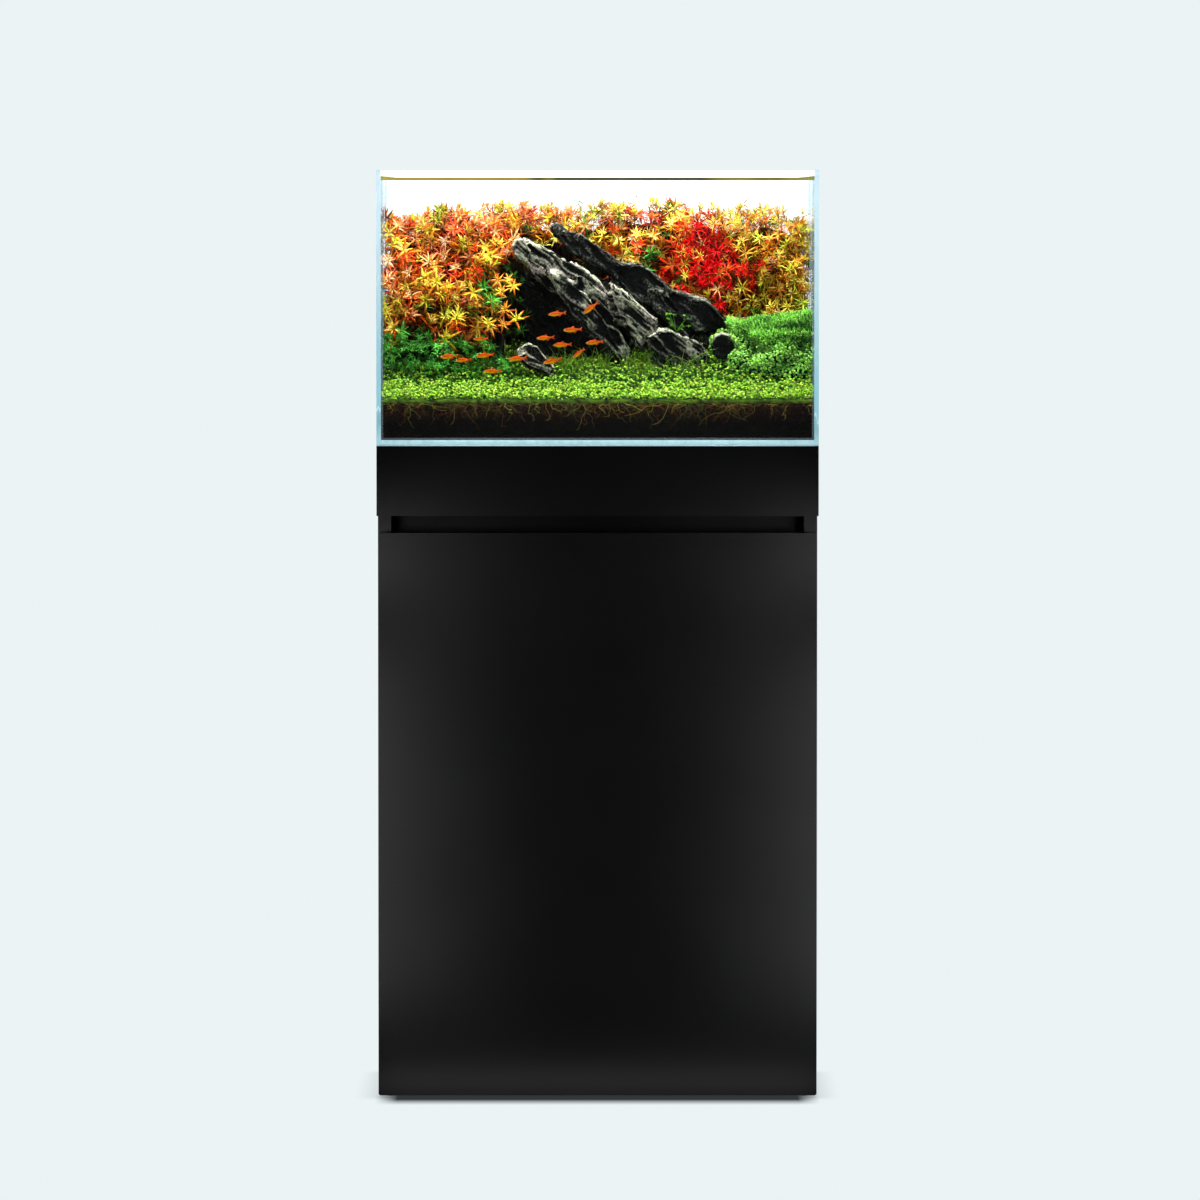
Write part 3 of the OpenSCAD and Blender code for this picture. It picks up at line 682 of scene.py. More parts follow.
def slab_solid(slabs, voxel):
    """The union of convex slabs as one evenly meshed solid: points, normals and faces."""
    bm = bmesh.new()
    for front, back, outline in slabs:
        part = bmesh.new()
        for y, pull in ((front, 0.9), (back, 1.0)):
            middle = np.mean(outline, axis=0)
            for x, z in outline:
                px, pz = middle + (np.array([x, z]) - middle) * pull
                part.verts.new((px * MM, y * MM, pz * MM))
        bmesh.ops.convex_hull(part, input=part.verts)
        loose = [v for v in part.verts if not v.link_faces]
        bmesh.ops.delete(part, geom=loose, context="VERTS")
        me = bpy.data.meshes.new("slab")
        part.to_mesh(me)
        part.free()
        bm.from_mesh(me)
        bpy.data.meshes.remove(me)
    me = bpy.data.meshes.new("slabs")
    bm.to_mesh(me)
    bm.free()
    ob = bpy.data.objects.new("slabs", me)
    bpy.context.scene.collection.objects.link(ob)
    remesh = ob.modifiers.new("even", "REMESH")
    remesh.mode, remesh.voxel_size = "VOXEL", voxel * MM
    solid = bpy.data.meshes.new_from_object(ob.evaluated_get(bpy.context.evaluated_depsgraph_get()))
    bpy.data.objects.remove(ob)
    return solid


def wander(p, seed):
    """A smooth offset within about 1 on each axis, the same on every run."""
    q = p / 34
    return Vector([noise.noise(q + Vector((seed, 37.0 * axis, 0))) for axis in range(3)])


def ridged(p, along, scale, seed):
    """Ridged noise stretched along the rock's grain, from 0 in a cleft to about 1 on a ridge."""
    u = p.x * along[0] + p.z * along[1]
    v = -p.x * along[1] + p.z * along[0]
    q = Vector((u / scale[0] + seed, v / scale[1], p.y / scale[2]))
    return 1.0 - abs(noise.noise(q)) * 2.2


def smooth(value, low, high):
    """0 below low and 1 above high, with a soft step between."""
    t = min(max((value - low) / (high - low), 0.0), 1.0)
    return t * t * (3 - 2 * t)


def stone(name, slabs, voxel, seed, mat, stands_for, depth=1.0, grain=GRAIN_DEG, shading=None):
    """A weathered stone: slabs fused together, then cut by clefts that follow the grain."""
    me = slab_solid(slabs, voxel)
    angle = math.radians(grain)
    along = (math.cos(angle), math.sin(angle))
    tints = np.ones((len(me.vertices), 4), np.float32)
    moved = []
    for i, v in enumerate(me.vertices):
        p = v.co / MM
        bend = wander(p, seed) * 9
        big = ridged(p + bend, along, (70, 12.5, 20), seed)
        mid = ridged(p + bend * 0.6, along, (26, 4.2, 7), seed + 9)
        fine = ridged(p + bend * 0.2, along, (11, 1.9, 3.0), seed + 21)
        sink = (5.0 * (1 - big) + 2.8 * (1 - mid) + 1.0 * (1 - fine)) * depth
        moved.append(v.co - v.normal * sink * MM)
        # Painted light and shade: clefts are darker, partly the stone's own colour and partly painted shade;
        # faces turned up are painted lighter and faces turned towards +X darker.
        open_face = smooth(big, 0.2, 0.5) * smooth(mid, 0.05, 0.45)
        shade = open_face * (0.2 + 0.3 * big + 0.34 * fine) + 0.16 * v.normal.z - 0.1 * v.normal.x
        if shading is not None:
            shade = shading(p, shade)
        tints[i, :3] = min(max(shade, 0.0), 1.0)
    for v, co in zip(me.vertices, moved):
        v.co = co
    me.polygons.foreach_set("use_smooth", np.ones(len(me.polygons), bool))
    colours = me.color_attributes.new("tint", "FLOAT_COLOR", "POINT")
    colours.data.foreach_set("color", tints.ravel())
    me.update()
    return piece(name, me, [mat], stands_for)


def main_shading(p, shade):
    """Paints shade into the hollow at the lower left of the main stone, and lightens a patch on its shoulder
    and its upper left knob.
    """
    below = (p.x + 76) * 0.66 + (p.z - 1122) * 0.75
    lighter_patch = math.exp(-((p.x + 60) / 17) ** 2 - ((p.z - 1122) / 7) ** 2)
    knob = math.exp(-((p.x + 108) / 14) ** 2 - ((p.z - 1164) / 9) ** 2)
    return shade * float(np.interp(below, (-30, -4), (0.1, 1.0))) + 0.26 * lighter_patch + 0.16 * knob


def spire_shading(p, shade):
    """The spire stone is darker, but for a lighter patch near its lower end."""
    lighter_patch = math.exp(-((p.x - 134) / 17) ** 2 - ((p.z - 1084) / 8) ** 2)
    return shade * 0.5 + 0.36 * lighter_patch


def right_shading(p, shade):
    """Painted light along the upper face of the right stone, and painted shade below it."""
    below = (1052 - p.z) - (p.x - 75) * 0.5
    return shade * float(np.interp(below, (8, 42), (0.95, 0.4)))


def small_shading(p, shade):
    return shade * 0.8 + 0.14


def round_shading(p, shade):
    """A dark face with painted light along its upper rim."""
    out = math.hypot((p.x - 171) / 17, (p.z - 1021) / 19)
    rim = smooth(out, 0.72, 0.98) * smooth(p.z, 1020, 1034)
    return 0.16 * shade + 0.55 * rim


def stones():
    mat = rock("limestone")
    stone("main_stone", MAIN_SLABS, 1.6, 3.1, mat, ["stone_main"], shading=main_shading)
    stone("spire_stone", SPIRE_SLABS, 1.6, 8.4, mat, ["stone_spire"], 0.9, shading=spire_shading)
    stone("right_stone", RIGHT_SLABS, 1.4, 15.2, mat, ["stone_right"], 0.8, shading=right_shading)
    stone("small_stone", SMALL_SLABS, 1.2, 22.7, mat, ["stone_small"], 0.6, -28, small_shading)
    stone("round_stone", ROUND_SLABS, 1.2, 31.9, mat, ["stone_round"], 0.35, -20, round_shading)


# ---- Soil ----


def icosahedron():
    """Corners and faces of a unit icosahedron."""
    bm = bmesh.new()
    bmesh.ops.create_icosphere(bm, subdivisions=1, radius=1.0)
    points = np.array([v.co[:] for v in bm.verts])
    faces = np.array([[v.index for v in f.verts] for f in bm.faces])
    bm.free()
    return points, faces


def hex_grid(low, high, pitch, rng, wander=0.28):
    """Points of a jittered hexagonal grid over a rectangle."""
    rows = np.arange(low[1], high[1], pitch * 0.866)
    columns = np.arange(low[0], high[0], pitch)
    a, b = np.meshgrid(columns, rows)
    a = a + (np.arange(len(rows)) % 2)[:, None] * pitch / 2
    flat = np.stack([a.ravel(), b.ravel()], 1)
    return flat + rng.uniform(-wander, wander, flat.shape) * pitch


def put_granules(pile, centres, radius, rgb, rng):
    points, faces = icosahedron()
    lumps = 1 + rng.uniform(-0.24, 0.24, (len(centres), len(points), 1))
    shapes = points[None] * lumps * radius[:, None, None] + centres[:, None, :]
    shapes[..., 0] = np.clip(shapes[..., 0], -IN_X + 0.15, IN_X - 0.15)
    shapes[..., 1] = np.clip(shapes[..., 1], IN_FRONT + 0.9, IN_BACK - 0.15)
    shapes[..., 2] = np.maximum(shapes[..., 2], BED_Z + 0.1)
    tints = np.repeat(rgb[:, None, :], len(points), 1)
    pile.put_many(shapes, tints, [faces], 0)


def granule_rgb(below, rng):
    """Brown just under the surface, almost black further down."""
    share = np.clip(below / 26, 0, 1)[:, None] ** 0.7
    browner, black = np.array(linear(58, 34, 20)), np.array(linear(11, 9, 8))
    return jitter_rgb(browner + (black - browner) * share, rng, 0.5)


def soil():
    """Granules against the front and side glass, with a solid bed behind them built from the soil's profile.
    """
    rng = np.random.default_rng(SEED)
    pile = Pile()
    pitch_front, pitch_side, inset = 3.0, 3.8, 1.6
    flat = hex_grid((-IN_X + 1.2, BED_Z + 1.0), (IN_X - 1.2, BED_Z + BED_H[0]), pitch_front, rng)
    top = bed_height(IN_FRONT) + rng.normal(0, 0.8, len(flat))
    flat = flat[flat[:, 1] < top]
    depth = IN_FRONT + 1.3 + rng.uniform(0, 0.7, len(flat))
    centres = np.stack([flat[:, 0], depth, flat[:, 1]], 1)
    radius = rng.uniform(1.25, 1.95, len(flat))
    put_granules(pile, centres, radius, granule_rgb(bed_height(IN_FRONT) - flat[:, 1], rng), rng)
    for side in (-1, 1):
        flat = hex_grid((IN_FRONT + 1.5, BED_Z + 1), (IN_BACK - 1, BED_Z + BED_H[-1]), pitch_side, rng)
        flat = flat[flat[:, 1] < bed_height(flat[:, 0]) + 1]
        across = side * (IN_X - 1.6 - rng.uniform(0, 0.7, len(flat)))
        centres = np.stack([across, flat[:, 0], flat[:, 1]], 1)
        radius = rng.uniform(1.7, 2.4, len(flat))
        below = bed_height(flat[:, 0]) - flat[:, 1]
        put_granules(pile, centres, radius, granule_rgb(below, rng), rng)
    profile = [(y, z) for y, z in zip(BED_Y, BED_Z + BED_H)]
    profile = [(IN_FRONT + inset, profile[0][1])] + profile[1:] + [
        (IN_BACK, BED_Z + 0.5), (IN_FRONT + inset, BED_Z + 0.5)
    ]
    ends = [
        np.array([(side * (IN_X - inset), y, z) for y, z in profile]) for side in (-1, 1)
    ]
    n = len(profile)
    walls = [[i, (i + 1) % n, n + (i + 1) % n, n + i] for i in range(n)]
    tints = np.tile(np.array(linear(14, 11, 10)), (2 * n, 1))
    pile.put(np.concatenate(ends), tints, [walls, [list(range(n))[::-1]], [list(range(n, 2 * n))]])
    piece("soil_bed", pile.mesh("soil_bed"), [baked_soil("clay_granules")], ["soil"])


def roots():
    """Threads of root that wander down from the carpet against the front glass."""
    rng = np.random.default_rng(SEED + 1)
    count, steps = 440, 12
    start = rng.uniform(-IN_X + 4, IN_X - 4, count)
    reach = 4 + 42 * rng.beta(1.0, 2.9, count)
    drift = np.cumsum(rng.normal(0, 1.9, (count, steps)) + rng.normal(0, 1.3, (count, 1)), 1)
    down = np.sort(rng.uniform(0, 1, (count, steps)), 1) * reach[:, None]
    x = np.clip(start[:, None] + drift, -IN_X + 1.2, IN_X - 1.2)
    y = np.full_like(x, IN_FRONT + 0.62) + rng.uniform(0, 0.1, x.shape)
    z = np.maximum(bed_height(IN_FRONT) + 1 - down, BED_Z + 2)
    looks = np.array([linear(176, 158, 76), linear(64, 56, 30), linear(118, 72, 36),
                      linear(112, 126, 52), linear(30, 26, 18)])
    rgb = jitter_rgb(looks[rng.integers(0, len(looks), count)], rng, 0.4)
    pile = Pile()
    threads(pile, np.stack([x, y, z], 2), rng.uniform(0.16, 0.4, count), rgb)
    piece("plant_roots", pile.mesh("plant_roots"), [living("root_skin", 0.6)])


# ---- Carpet, moss and grass ----

LIME = np.array(linear(166, 216, 76))
LEAF_GREEN = np.array(linear(96, 160, 44))
SHADE_GREEN = np.array(linear(34, 84, 26))
DARK_GREEN = np.array(linear(14, 36, 12))
MOSS_GREEN = np.array(linear(164, 236, 106))


def blend_rgb(a, b, share):
    return a + (b - a) * np.clip(share, 0, 1)[:, None]


def carpet():
    """A mat of small round leaves, with painted light and shade: lighter the higher a leaf stands, and
    darker further from the front glass.
    """
    rng = np.random.default_rng(SEED + 2)
    pile = Pile()
    near, far = 8800, 8000
    y = np.concatenate([
        rng.uniform(IN_FRONT + 0.6, -118, near), rng.uniform(-118, 66, far)
    ])
    x = rng.uniform(-IN_X + 1, IN_X - 1, near + far)
    lumps = np.array([noise.noise(Vector((a / 19, b / 19, 0))) for a, b in zip(x, y)])
    tall = CARPET_T + 6.0 * lumps + 2.0 * rng.normal(0, 1, len(x))
    z = bed_height(y) + np.clip(tall * rng.uniform(0.35, 1.1, len(x)), 0.5, 17)
    upper = unit(np.stack([
        rng.normal(0, 0.5, len(x)), rng.normal(-0.45, 0.5, len(x)), np.full(len(x), 0.75)
    ], 1))
    size = rng.uniform(3.2, 5.4, len(x))
    height = (z - bed_height(y)) / CARPET_T
    # Painted light and shade: leaves grow lighter the higher they stand, and darker further from the front
    # glass.
    rgb = blend_rgb(np.tile(SHADE_GREEN, (len(x), 1)), LIME, 1.35 * height ** 1.5 - 0.12)
    away = np.clip((y - IN_FRONT - 10) / 80, 0, 1)
    rgb = blend_rgb(rgb, SHADE_GREEN, away * 0.42)
    rgb = jitter_rgb(rgb, rng, 0.3)
    centre = np.stack([x, y, z], 1)
    centre[:, 1] = np.maximum(centre[:, 1], IN_FRONT + 2.2)
    round_leaves(pile, centre, upper, size, rgb, rng)
    pile.points[-1][:, 1] = np.maximum(pile.points[-1][:, 1], IN_FRONT + 0.2)
    pile.points[-1][:, 0] = np.clip(pile.points[-1][:, 0], -IN_X + 0.2, IN_X - 0.2)
    mat_layer(pile)
    me = pile.mesh("carpet_leaves")
    piece("carpet_leaves", me, [living("carpet_leaf", 0.45)], ["carpet_plants"])


def mat_layer(pile):
    """The tangled mat under the leaves: a lumpy closed sheet over the whole bed, almost black green, partly
    its own colour and partly painted shade between the leaves.
    """
    rows = np.concatenate([
        np.arange(IN_FRONT + 0.4, IN_BACK - 6, 6.0), [IN_BACK - 0.4]
    ])
    columns = np.linspace(-IN_X + 0.4, IN_X - 0.4, 99)
    a, b = np.meshgrid(columns, rows)
    lumps = np.array([
        noise.noise(Vector((p / 9, q / 9, 3))) for p, q in zip(a.ravel(), b.ravel())
    ]).reshape(a.shape)
    over = bed_height(b) + 4.2 + 2.6 * lumps
    under = bed_height(b) - 0.4
    n, m = a.shape
    index = np.arange(n * m).reshape(n, m)

    def cells(block, flip):
        corners = [block[:-1, :-1], block[:-1, 1:], block[1:, 1:], block[1:, :-1]]
        quads = np.stack([c.ravel() for c in corners], 1)
        return quads[:, ::-1] if flip else quads

    low = index + n * m
    loop = np.concatenate([index[0, :], index[1:, -1], index[-1, -2::-1], index[-2:0:-1, 0]])
    next_in_loop = np.roll(loop, -1)
    rim = np.stack([loop, loop + n * m, next_in_loop + n * m, next_in_loop], 1)
    points = np.concatenate([
        np.stack([a.ravel(), b.ravel(), over.ravel()], 1),
        np.stack([a.ravel(), b.ravel(), under.ravel()], 1),
    ])
    # Almost black green, partly painted shade; lime spots of varied brightness along the front.
    tints = np.tile(SHADE_GREEN * 0.3, (len(points), 1))
    at_front = np.flatnonzero(points[:, 1] < IN_FRONT + 4)
    spots = np.array([noise.noise(Vector((points[i, 0] / 5, points[i, 2], 9))) for i in at_front])
    tints[at_front] = LIME * np.clip(0.22 + 0.5 * spots, 0.02, 0.6)[:, None]
    pile.put(points, tints, [cells(index, False), cells(low, True), rim])


MOSS_MIDDLE = (280.0, -40.0)
MOSS_REACH = (116.0, 58.0)
MOSS_TALL = 64.0


def on_mound(sphere, share=1.0):
    """Maps points of the upper unit sphere to the moss mound, which leans on the right glass."""
    lumps = np.array([noise.noise(Vector(p * 4.1)) for p in sphere])
    sphere = sphere * (share + 0.17 * lumps)[:, None]
    x = MOSS_MIDDLE[0] + MOSS_REACH[0] * sphere[:, 0]
    y = MOSS_MIDDLE[1] + MOSS_REACH[1] * sphere[:, 1]
    y = y + 38 * np.clip((210 - x) / 44, 0, 1)
    z = bed_height(y) + 3 + MOSS_TALL * np.maximum(sphere[:, 2], 0) ** 0.62
    return np.stack([np.minimum(x, IN_X - 0.4), y, z], 1), lumps


def moss():
    """A cushion of ferny moss, with small round leaves low on its right, painted lighter where the cushion
    bulges out, over a dark core that is partly painted shade.
    """
    rng = np.random.default_rng(SEED + 3)
    pile = Pile()
    sphere = unit(rng.normal(size=(26000, 3)))
    sphere[:, 2] = np.abs(sphere[:, 2])
    at, lumps = on_mound(sphere)
    out = unit(sphere / np.array([*MOSS_REACH, MOSS_TALL]))
    cut = at[:, 0] > IN_X - 0.5
    beyond = MOSS_MIDDLE[0] + MOSS_REACH[0] * sphere[:, 0] > IN_X + 14
    inside = ~(cut & beyond & (rng.uniform(0, 1, len(at)) < 0.5))
    level = rng.uniform(0, 1, len(at))
    at[cut, 2] = bed_height(at[cut, 1]) + 2 + (at[cut, 2] - bed_height(at[cut, 1])) * level[cut]
    at[cut, 0] -= rng.uniform(0.5, 3.0, cut.sum())
    out[cut] = (0.9, -0.2, 0.3)
    at, lumps, sphere, out = at[inside], lumps[inside], sphere[inside], out[inside]
    rise = sphere[:, 2]
    leafy = (rise < 0.5) | (rng.uniform(0, 1, len(at)) < 0.3)
    fern = at[~leafy][:7500] + out[~leafy][:7500] * rng.uniform(0, 4.5, (min(7500, (~leafy).sum()), 1))
    upward = unit(out[~leafy][:7500] + rng.normal(0, 0.5, fern.shape) + np.array([0, -0.15, 0.45]))
    # Painted light: leaves on the bulges of the cushion are lighter, here and for the round leaves below.
    bright = np.clip(0.5 + 1.1 * lumps[~leafy][:7500] + rng.normal(0, 0.3, len(fern)), 0, 1)
    rgb = jitter_rgb(blend_rgb(np.tile(SHADE_GREEN, (len(fern), 1)), MOSS_GREEN, bright), rng, 0.22)
    blades(pile, fern, upward, unit(rng.normal(size=fern.shape)), rng.uniform(5, 9.5, len(fern)),
           rng.uniform(1.1, 1.9, len(fern)), rgb * 0.6, rgb * 1.2)
    round_at = at[leafy][:7000]
    upper = unit(out[leafy][:7000] + rng.normal(0, 0.4, round_at.shape) + np.array([0, -0.3, 0.5]))
    bright = np.clip(0.6 + 0.8 * lumps[leafy][:7000] + rng.normal(0, 0.25, len(round_at)), 0, 1)
    rgb = blend_rgb(np.tile(SHADE_GREEN, (len(round_at), 1)), MOSS_GREEN * 1.2, bright)
    rgb = jitter_rgb(rgb, rng, 0.25)
    lift = upper * rng.uniform(0.5, 9.0, (len(round_at), 1)) ** 0.8
    round_leaves(pile, round_at + lift, upper, rng.uniform(3.0, 5.4, len(round_at)), rgb, rng)
    for block in pile.points:
        block[:, 0] = np.minimum(block[:, 0], IN_X - 0.3)
    # A dark green core, partly the cushion's body and partly painted shade that shows between the leaves.
    core = bmesh.new()
    bmesh.ops.create_icosphere(core, subdivisions=4, radius=1.0)
    ball = np.array([v.co[:] for v in core.verts])
    faces = np.array([[v.index for v in f.verts] for f in core.faces])
    core.free()
    points, _ = on_mound(ball, 0.94)
    points[:, 0] = np.minimum(points[:, 0], IN_X - 3)
    points[ball[:, 2] < -0.02, 2] -= 6
    pile.put(points, np.tile(DARK_GREEN, (len(points), 1)), [faces])
    piece("moss_cushion", pile.mesh("moss_cushion"), [living("moss_leaf", 0.6)],
          ["moss_mound"])


def hairgrass():
    """Fine curved grass at the foot of the stones."""
    rng = np.random.default_rng(SEED + 4)
    low, high = box_mm("hairgrass")
    count, n = 340, 7
    tuft = rng.uniform(low[0] - 16, high[0] + 14, count // 5)
    x = np.repeat(tuft, 5) + rng.normal(0, 5, count)
    y = rng.uniform(low[1] - 14, high[1] + 22, count)
    tall = rng.uniform(10, 44, count) * np.repeat(rng.uniform(0.4, 1.0, count // 5), 5)
    lean = rng.normal(0, 1, (count, 2)) * tall[:, None] * 0.5
    t = np.linspace(0, 1, n)[None, :]
    paths = np.stack([
        x[:, None] + lean[:, :1] * t ** 1.8, y[:, None] + lean[:, 1:] * 0.5 * t ** 1.8,
        bed_height(y)[:, None] + 4 + tall[:, None] * (t - 0.12 * t ** 2)
    ], 2)
    share = rng.uniform(0, 1, count)
    rgb = jitter_rgb(blend_rgb(np.tile(LEAF_GREEN * 0.25, (count, 1)), LIME * 0.7, share ** 1.6), rng, 0.25)
    pile = Pile()
    threads(pile, paths, rng.uniform(0.25, 0.5, count), rgb)
    piece("hair_grass", pile.mesh("hair_grass"), [living("grass_blade", 0.45)],
          ["hairgrass"])


def sprig():
    """A few round leaves on thin stems, rooted in a cleft of the stones."""
    rng = np.random.default_rng(SEED + 5)
    root = np.array([108.0, -14.0, 1040.0])
    count, n = 9, 5
    tip = root + np.stack([
        rng.uniform(-17, 19, count), rng.uniform(-14, -2, count), rng.uniform(6, 26, count)
    ], 1)
    t = np.linspace(0, 1, n)[None, :, None]
    paths = root + (tip - root)[:, None, :] * t + np.array([0, 0, 5.0]) * t * (1 - t)
    pile = Pile()
    threads(pile, paths, np.full(count, 0.4), np.tile(LEAF_GREEN, (count, 1)))
    for _ in range(2):
        at = tip + rng.normal(0, 1.8, tip.shape)
        upper = unit(rng.normal(0, 0.4, tip.shape) + np.array([0, -0.6, 0.6]))
        rgb = jitter_rgb(np.tile(LEAF_GREEN * 0.9, (count, 1)), rng, 0.3)
        round_leaves(pile, at, upper, rng.uniform(3.5, 5.6, count), rgb, rng)
    piece("stone_sprig", pile.mesh("stone_sprig"), [living("sprig_leaf", 0.4)])


# ---- Stem plants ----

# Leaf colours of each kind of shoot: at the root of a leaf and at its tip
SHOOTS = {
    "gold": (linear(206, 220, 70), linear(255, 162, 66)),
    "orange": (linear(250, 196, 92), linear(250, 122, 46)),
    "coral": (linear(255, 196, 128), linear(248, 104, 74)),
    "red": (linear(250, 112, 64), linear(232, 40, 30)),
    "crimson": (linear(226, 40, 34), linear(206, 14, 24)),
    "lime": (linear(214, 222, 84), linear(166, 184, 56)),
    "green": (linear(92, 158, 58), linear(40, 104, 44)),
}
ROOT_RGB = np.array([SHOOTS[k][0] for k in SHOOTS])
TIP_RGB = np.array([SHOOTS[k][1] for k in SHOOTS])

# Whorls of a shoot: distance below its tip, leaf length, opening angle, leaves, and painted brightness,
# lower whorls darker as painted shade
WHORLS = [
    (0, 6, 14, 3, 1.2), (2, 10, 40, 4, 1.12), (4.5, 14, 66, 6, 1.0),
    (9, 15.5, 82, 5, 0.55), (16, 15, 94, 4, 0.26), (25, 14, 104, 4, 0.13),
]


def near(x, z, at, reach):
    """1 at a place in the front view, falling to 0 with distance."""
    return np.exp(-((x - at[0]) ** 2 + (z - at[1]) ** 2) / (2 * reach ** 2))


def pick_shoots(x, z, rng):
    """Chooses a kind of shoot for each place in the front view."""
    one = np.ones_like(x)
    left = x < -100
    top = np.clip((z - 1170) / 25, 0, 1)
    middle = near(z, 0 * z, (1145, 0), 26)
    low = np.clip((1112 - z) / 30, 0, 1)
    glow = near(x, z, (262, 1110), 34)
    ruby = near(x, z, (138, 1132), 30) + 0.45 * near(x, z, (196, 1120), 13)
    dell = near(x, z, (80, 1146), 15) + 0.8 * near(x, z, (180, 1096), 15)
    sunny = near(x, z, (20, 1165), 32)
    gold = np.where(left, 0.5 + 0.6 * low, 1.7 + 1.4 * glow + 1.2 * sunny) * one
    orange = np.where(left, 1.1, 1.5) * one
    coral = np.where(left, 0.6 + 1.6 * top + 0.4 * middle, 0.4 + 4.0 * near(x, z, (-35, 1208), 34))
    red = np.where(left, 0.1 + 0.5 * middle, 0.16 + 3.4 * near(x, z, (72, 1204), 34)) + 1.6 * ruby
    crimson = 0.01 + 30.0 * ruby ** 1.5
    lime = np.where(left, 0.35 + 0.5 * low, 1.1 + 1.0 * sunny)
    green = np.where(left, 6.0 * np.clip((1046 - z) / 14, 0, 1) + 0.5 * low, 0.22 + 3.4 * dell)
    green = green + 5.0 * near(x, z, (-132, 1074), 16) * left
    weights = np.stack([gold, orange, coral, red, crimson, lime, green], 1)
    ladder = np.cumsum(weights / weights.sum(1, keepdims=True), 1)
    return (rng.uniform(0, 1, (len(x), 1)) > ladder).sum(1).clip(0, len(SHOOTS) - 1)


def in_glass(points):
    """Holds points inside the glass and under the water."""
    points[:, 0] = np.clip(points[:, 0], -IN_X + 0.3, IN_X - 0.3)
    points[:, 1] = np.clip(points[:, 1], IN_FRONT + 1, IN_BACK - 0.6)
    points[:, 2] = np.minimum(points[:, 2], WATER_Z - 6)


def shoots(pile, tips, axes, scale, rng, whorls=len(WHORLS), light=1.0, broad=1.0, kind=None):
    """Shoots: whorls of lance leaves round each stem's tip, some open as stars, some closed, with painted
    light and shade in their tints.
    """
    if kind is None:
        kind = pick_shoots(tips[:, 0], tips[:, 2], rng)
    # Painted light and shade: brightness follows the height of the tip, falls into lit and shaded clumps,
    # and is scaled by light.
    clump_light_and_shade = np.array([noise.noise(Vector((x / 26, z / 20, 7.0))) for x, _, z in tips])
    lit = light * np.interp(tips[:, 2], (1040, 1130, 1180, 1206), (1.05, 1.25, 1.2, 1.0))
    tone = (lit * np.exp(rng.normal(0.04, 0.16, len(tips)) + 0.7 * clump_light_and_shade))[:, None]
    opened = rng.uniform(0.55, 1.12, (len(tips), 1))
    first = side_of(axes, rng)
    second = np.cross(axes, first)
    for k, (below, length, opening, count, bright) in enumerate(WHORLS[:whorls]):
        for leaf in range(count):
            turn = 2 * math.pi * (leaf + 0.37 * k) / count + rng.normal(0, 0.22, (len(tips), 1))
            radial = first * np.cos(turn) + second * np.sin(turn)
            open_by = np.radians(opening * opened + rng.normal(0, 11, (len(tips), 1)))
            along = axes * np.cos(open_by) + radial * np.sin(open_by)
            upper = axes * np.sin(open_by) - radial * np.cos(open_by)
            base = tips - axes * (below * scale[:, None])
            size = length * scale * rng.uniform(0.72, 1.15, len(tips))
            width = broad * (1.0 + 0.1 * size) * rng.uniform(0.8, 1.2, len(tips))
            root = ROOT_RGB[kind] * tone * bright
            tip = TIP_RGB[kind] * tone * bright
            # Painted shade: the lower, darker whorls also turn maroon.
            painted_shade_tint = np.array([0.8, 0.42, 0.32]) if bright < 0.6 else np.ones(3)
            blades(pile, base, along, upper, size, width, jitter_rgb(root * painted_shade_tint, rng, 0.12),
                   jitter_rgb(tip * painted_shade_tint, rng, 0.18), droop=rng.uniform(0.05, 0.6, len(tips)))


def stems(pile, tips, axes, rng):
    """A stem for every shoot, from the bed up to its tip."""
    foot_y = np.clip(tips[:, 1] + 26, IN_FRONT, IN_BACK - 4)
    foot = np.stack([tips[:, 0] + rng.normal(0, 5, len(tips)), foot_y, bed_height(foot_y) + 1], 1)
    bend = tips - axes * 34
    t = np.linspace(0, 1, 6)[None, :, None]
    paths = (
        foot[:, None] * (1 - t) ** 2 + bend[:, None] * 2 * t * (1 - t) + tips[:, None] * t ** 2
    )
    rgb = jitter_rgb(np.tile(np.array(linear(46, 36, 18)), (len(tips), 1)), rng, 0.3)
    threads(pile, paths, rng.uniform(0.45, 0.7, len(tips)), rgb)


def thicket(pile, x_span, low, drop, y, rng):
    """The dark mass of lower stems behind the shoots: a lumpy closed slab below the skyline, near black,
    partly the stems' colour and partly painted shade.
    """
    columns = np.linspace(*x_span, 1 + int((x_span[1] - x_span[0]) / 6))
    a, share = np.meshgrid(columns, np.linspace(0, 1, 30))
    crest = np.array([skyline(x) - drop + 9 * noise.noise(Vector((x / 13, y, 0))) for x in columns])
    c = low + (crest[None, :] - low) * share
    lumps = np.array([
        noise.noise(Vector((p / 12, q / 9, y))) for p, q in zip(a.ravel(), c.ravel())
    ]).reshape(a.shape)
    n, m = a.shape
    index = np.arange(n * m).reshape(n, m)
    front = np.stack([a.ravel(), (y + 9 * lumps).ravel(), c.ravel()], 1)
    back = np.stack([a.ravel(), (y + 16 + 6 * lumps).ravel(), c.ravel()], 1)
    corners = [index[:-1, :-1], index[:-1, 1:], index[1:, 1:], index[1:, :-1]]
    quads = np.stack([k.ravel() for k in corners], 1)
    loop = np.concatenate([index[0, :], index[1:, -1], index[-1, -2::-1], index[-2:0:-1, 0]])
    next_in_loop = np.roll(loop, -1)
    rim = np.stack([loop, loop + n * m, next_in_loop + n * m, next_in_loop], 1)
    streak = np.tile(rng.uniform(0, 1, m), 2 * n)[:, None] + rng.normal(0, 0.12, (2 * n * m, 1))
    dark = np.where(streak < 0.5, linear(9, 14, 6), linear(19, 12, 7))
    pile.put(np.concatenate([front, back]), dark, [quads, quads[:, ::-1] + n * m, rim])


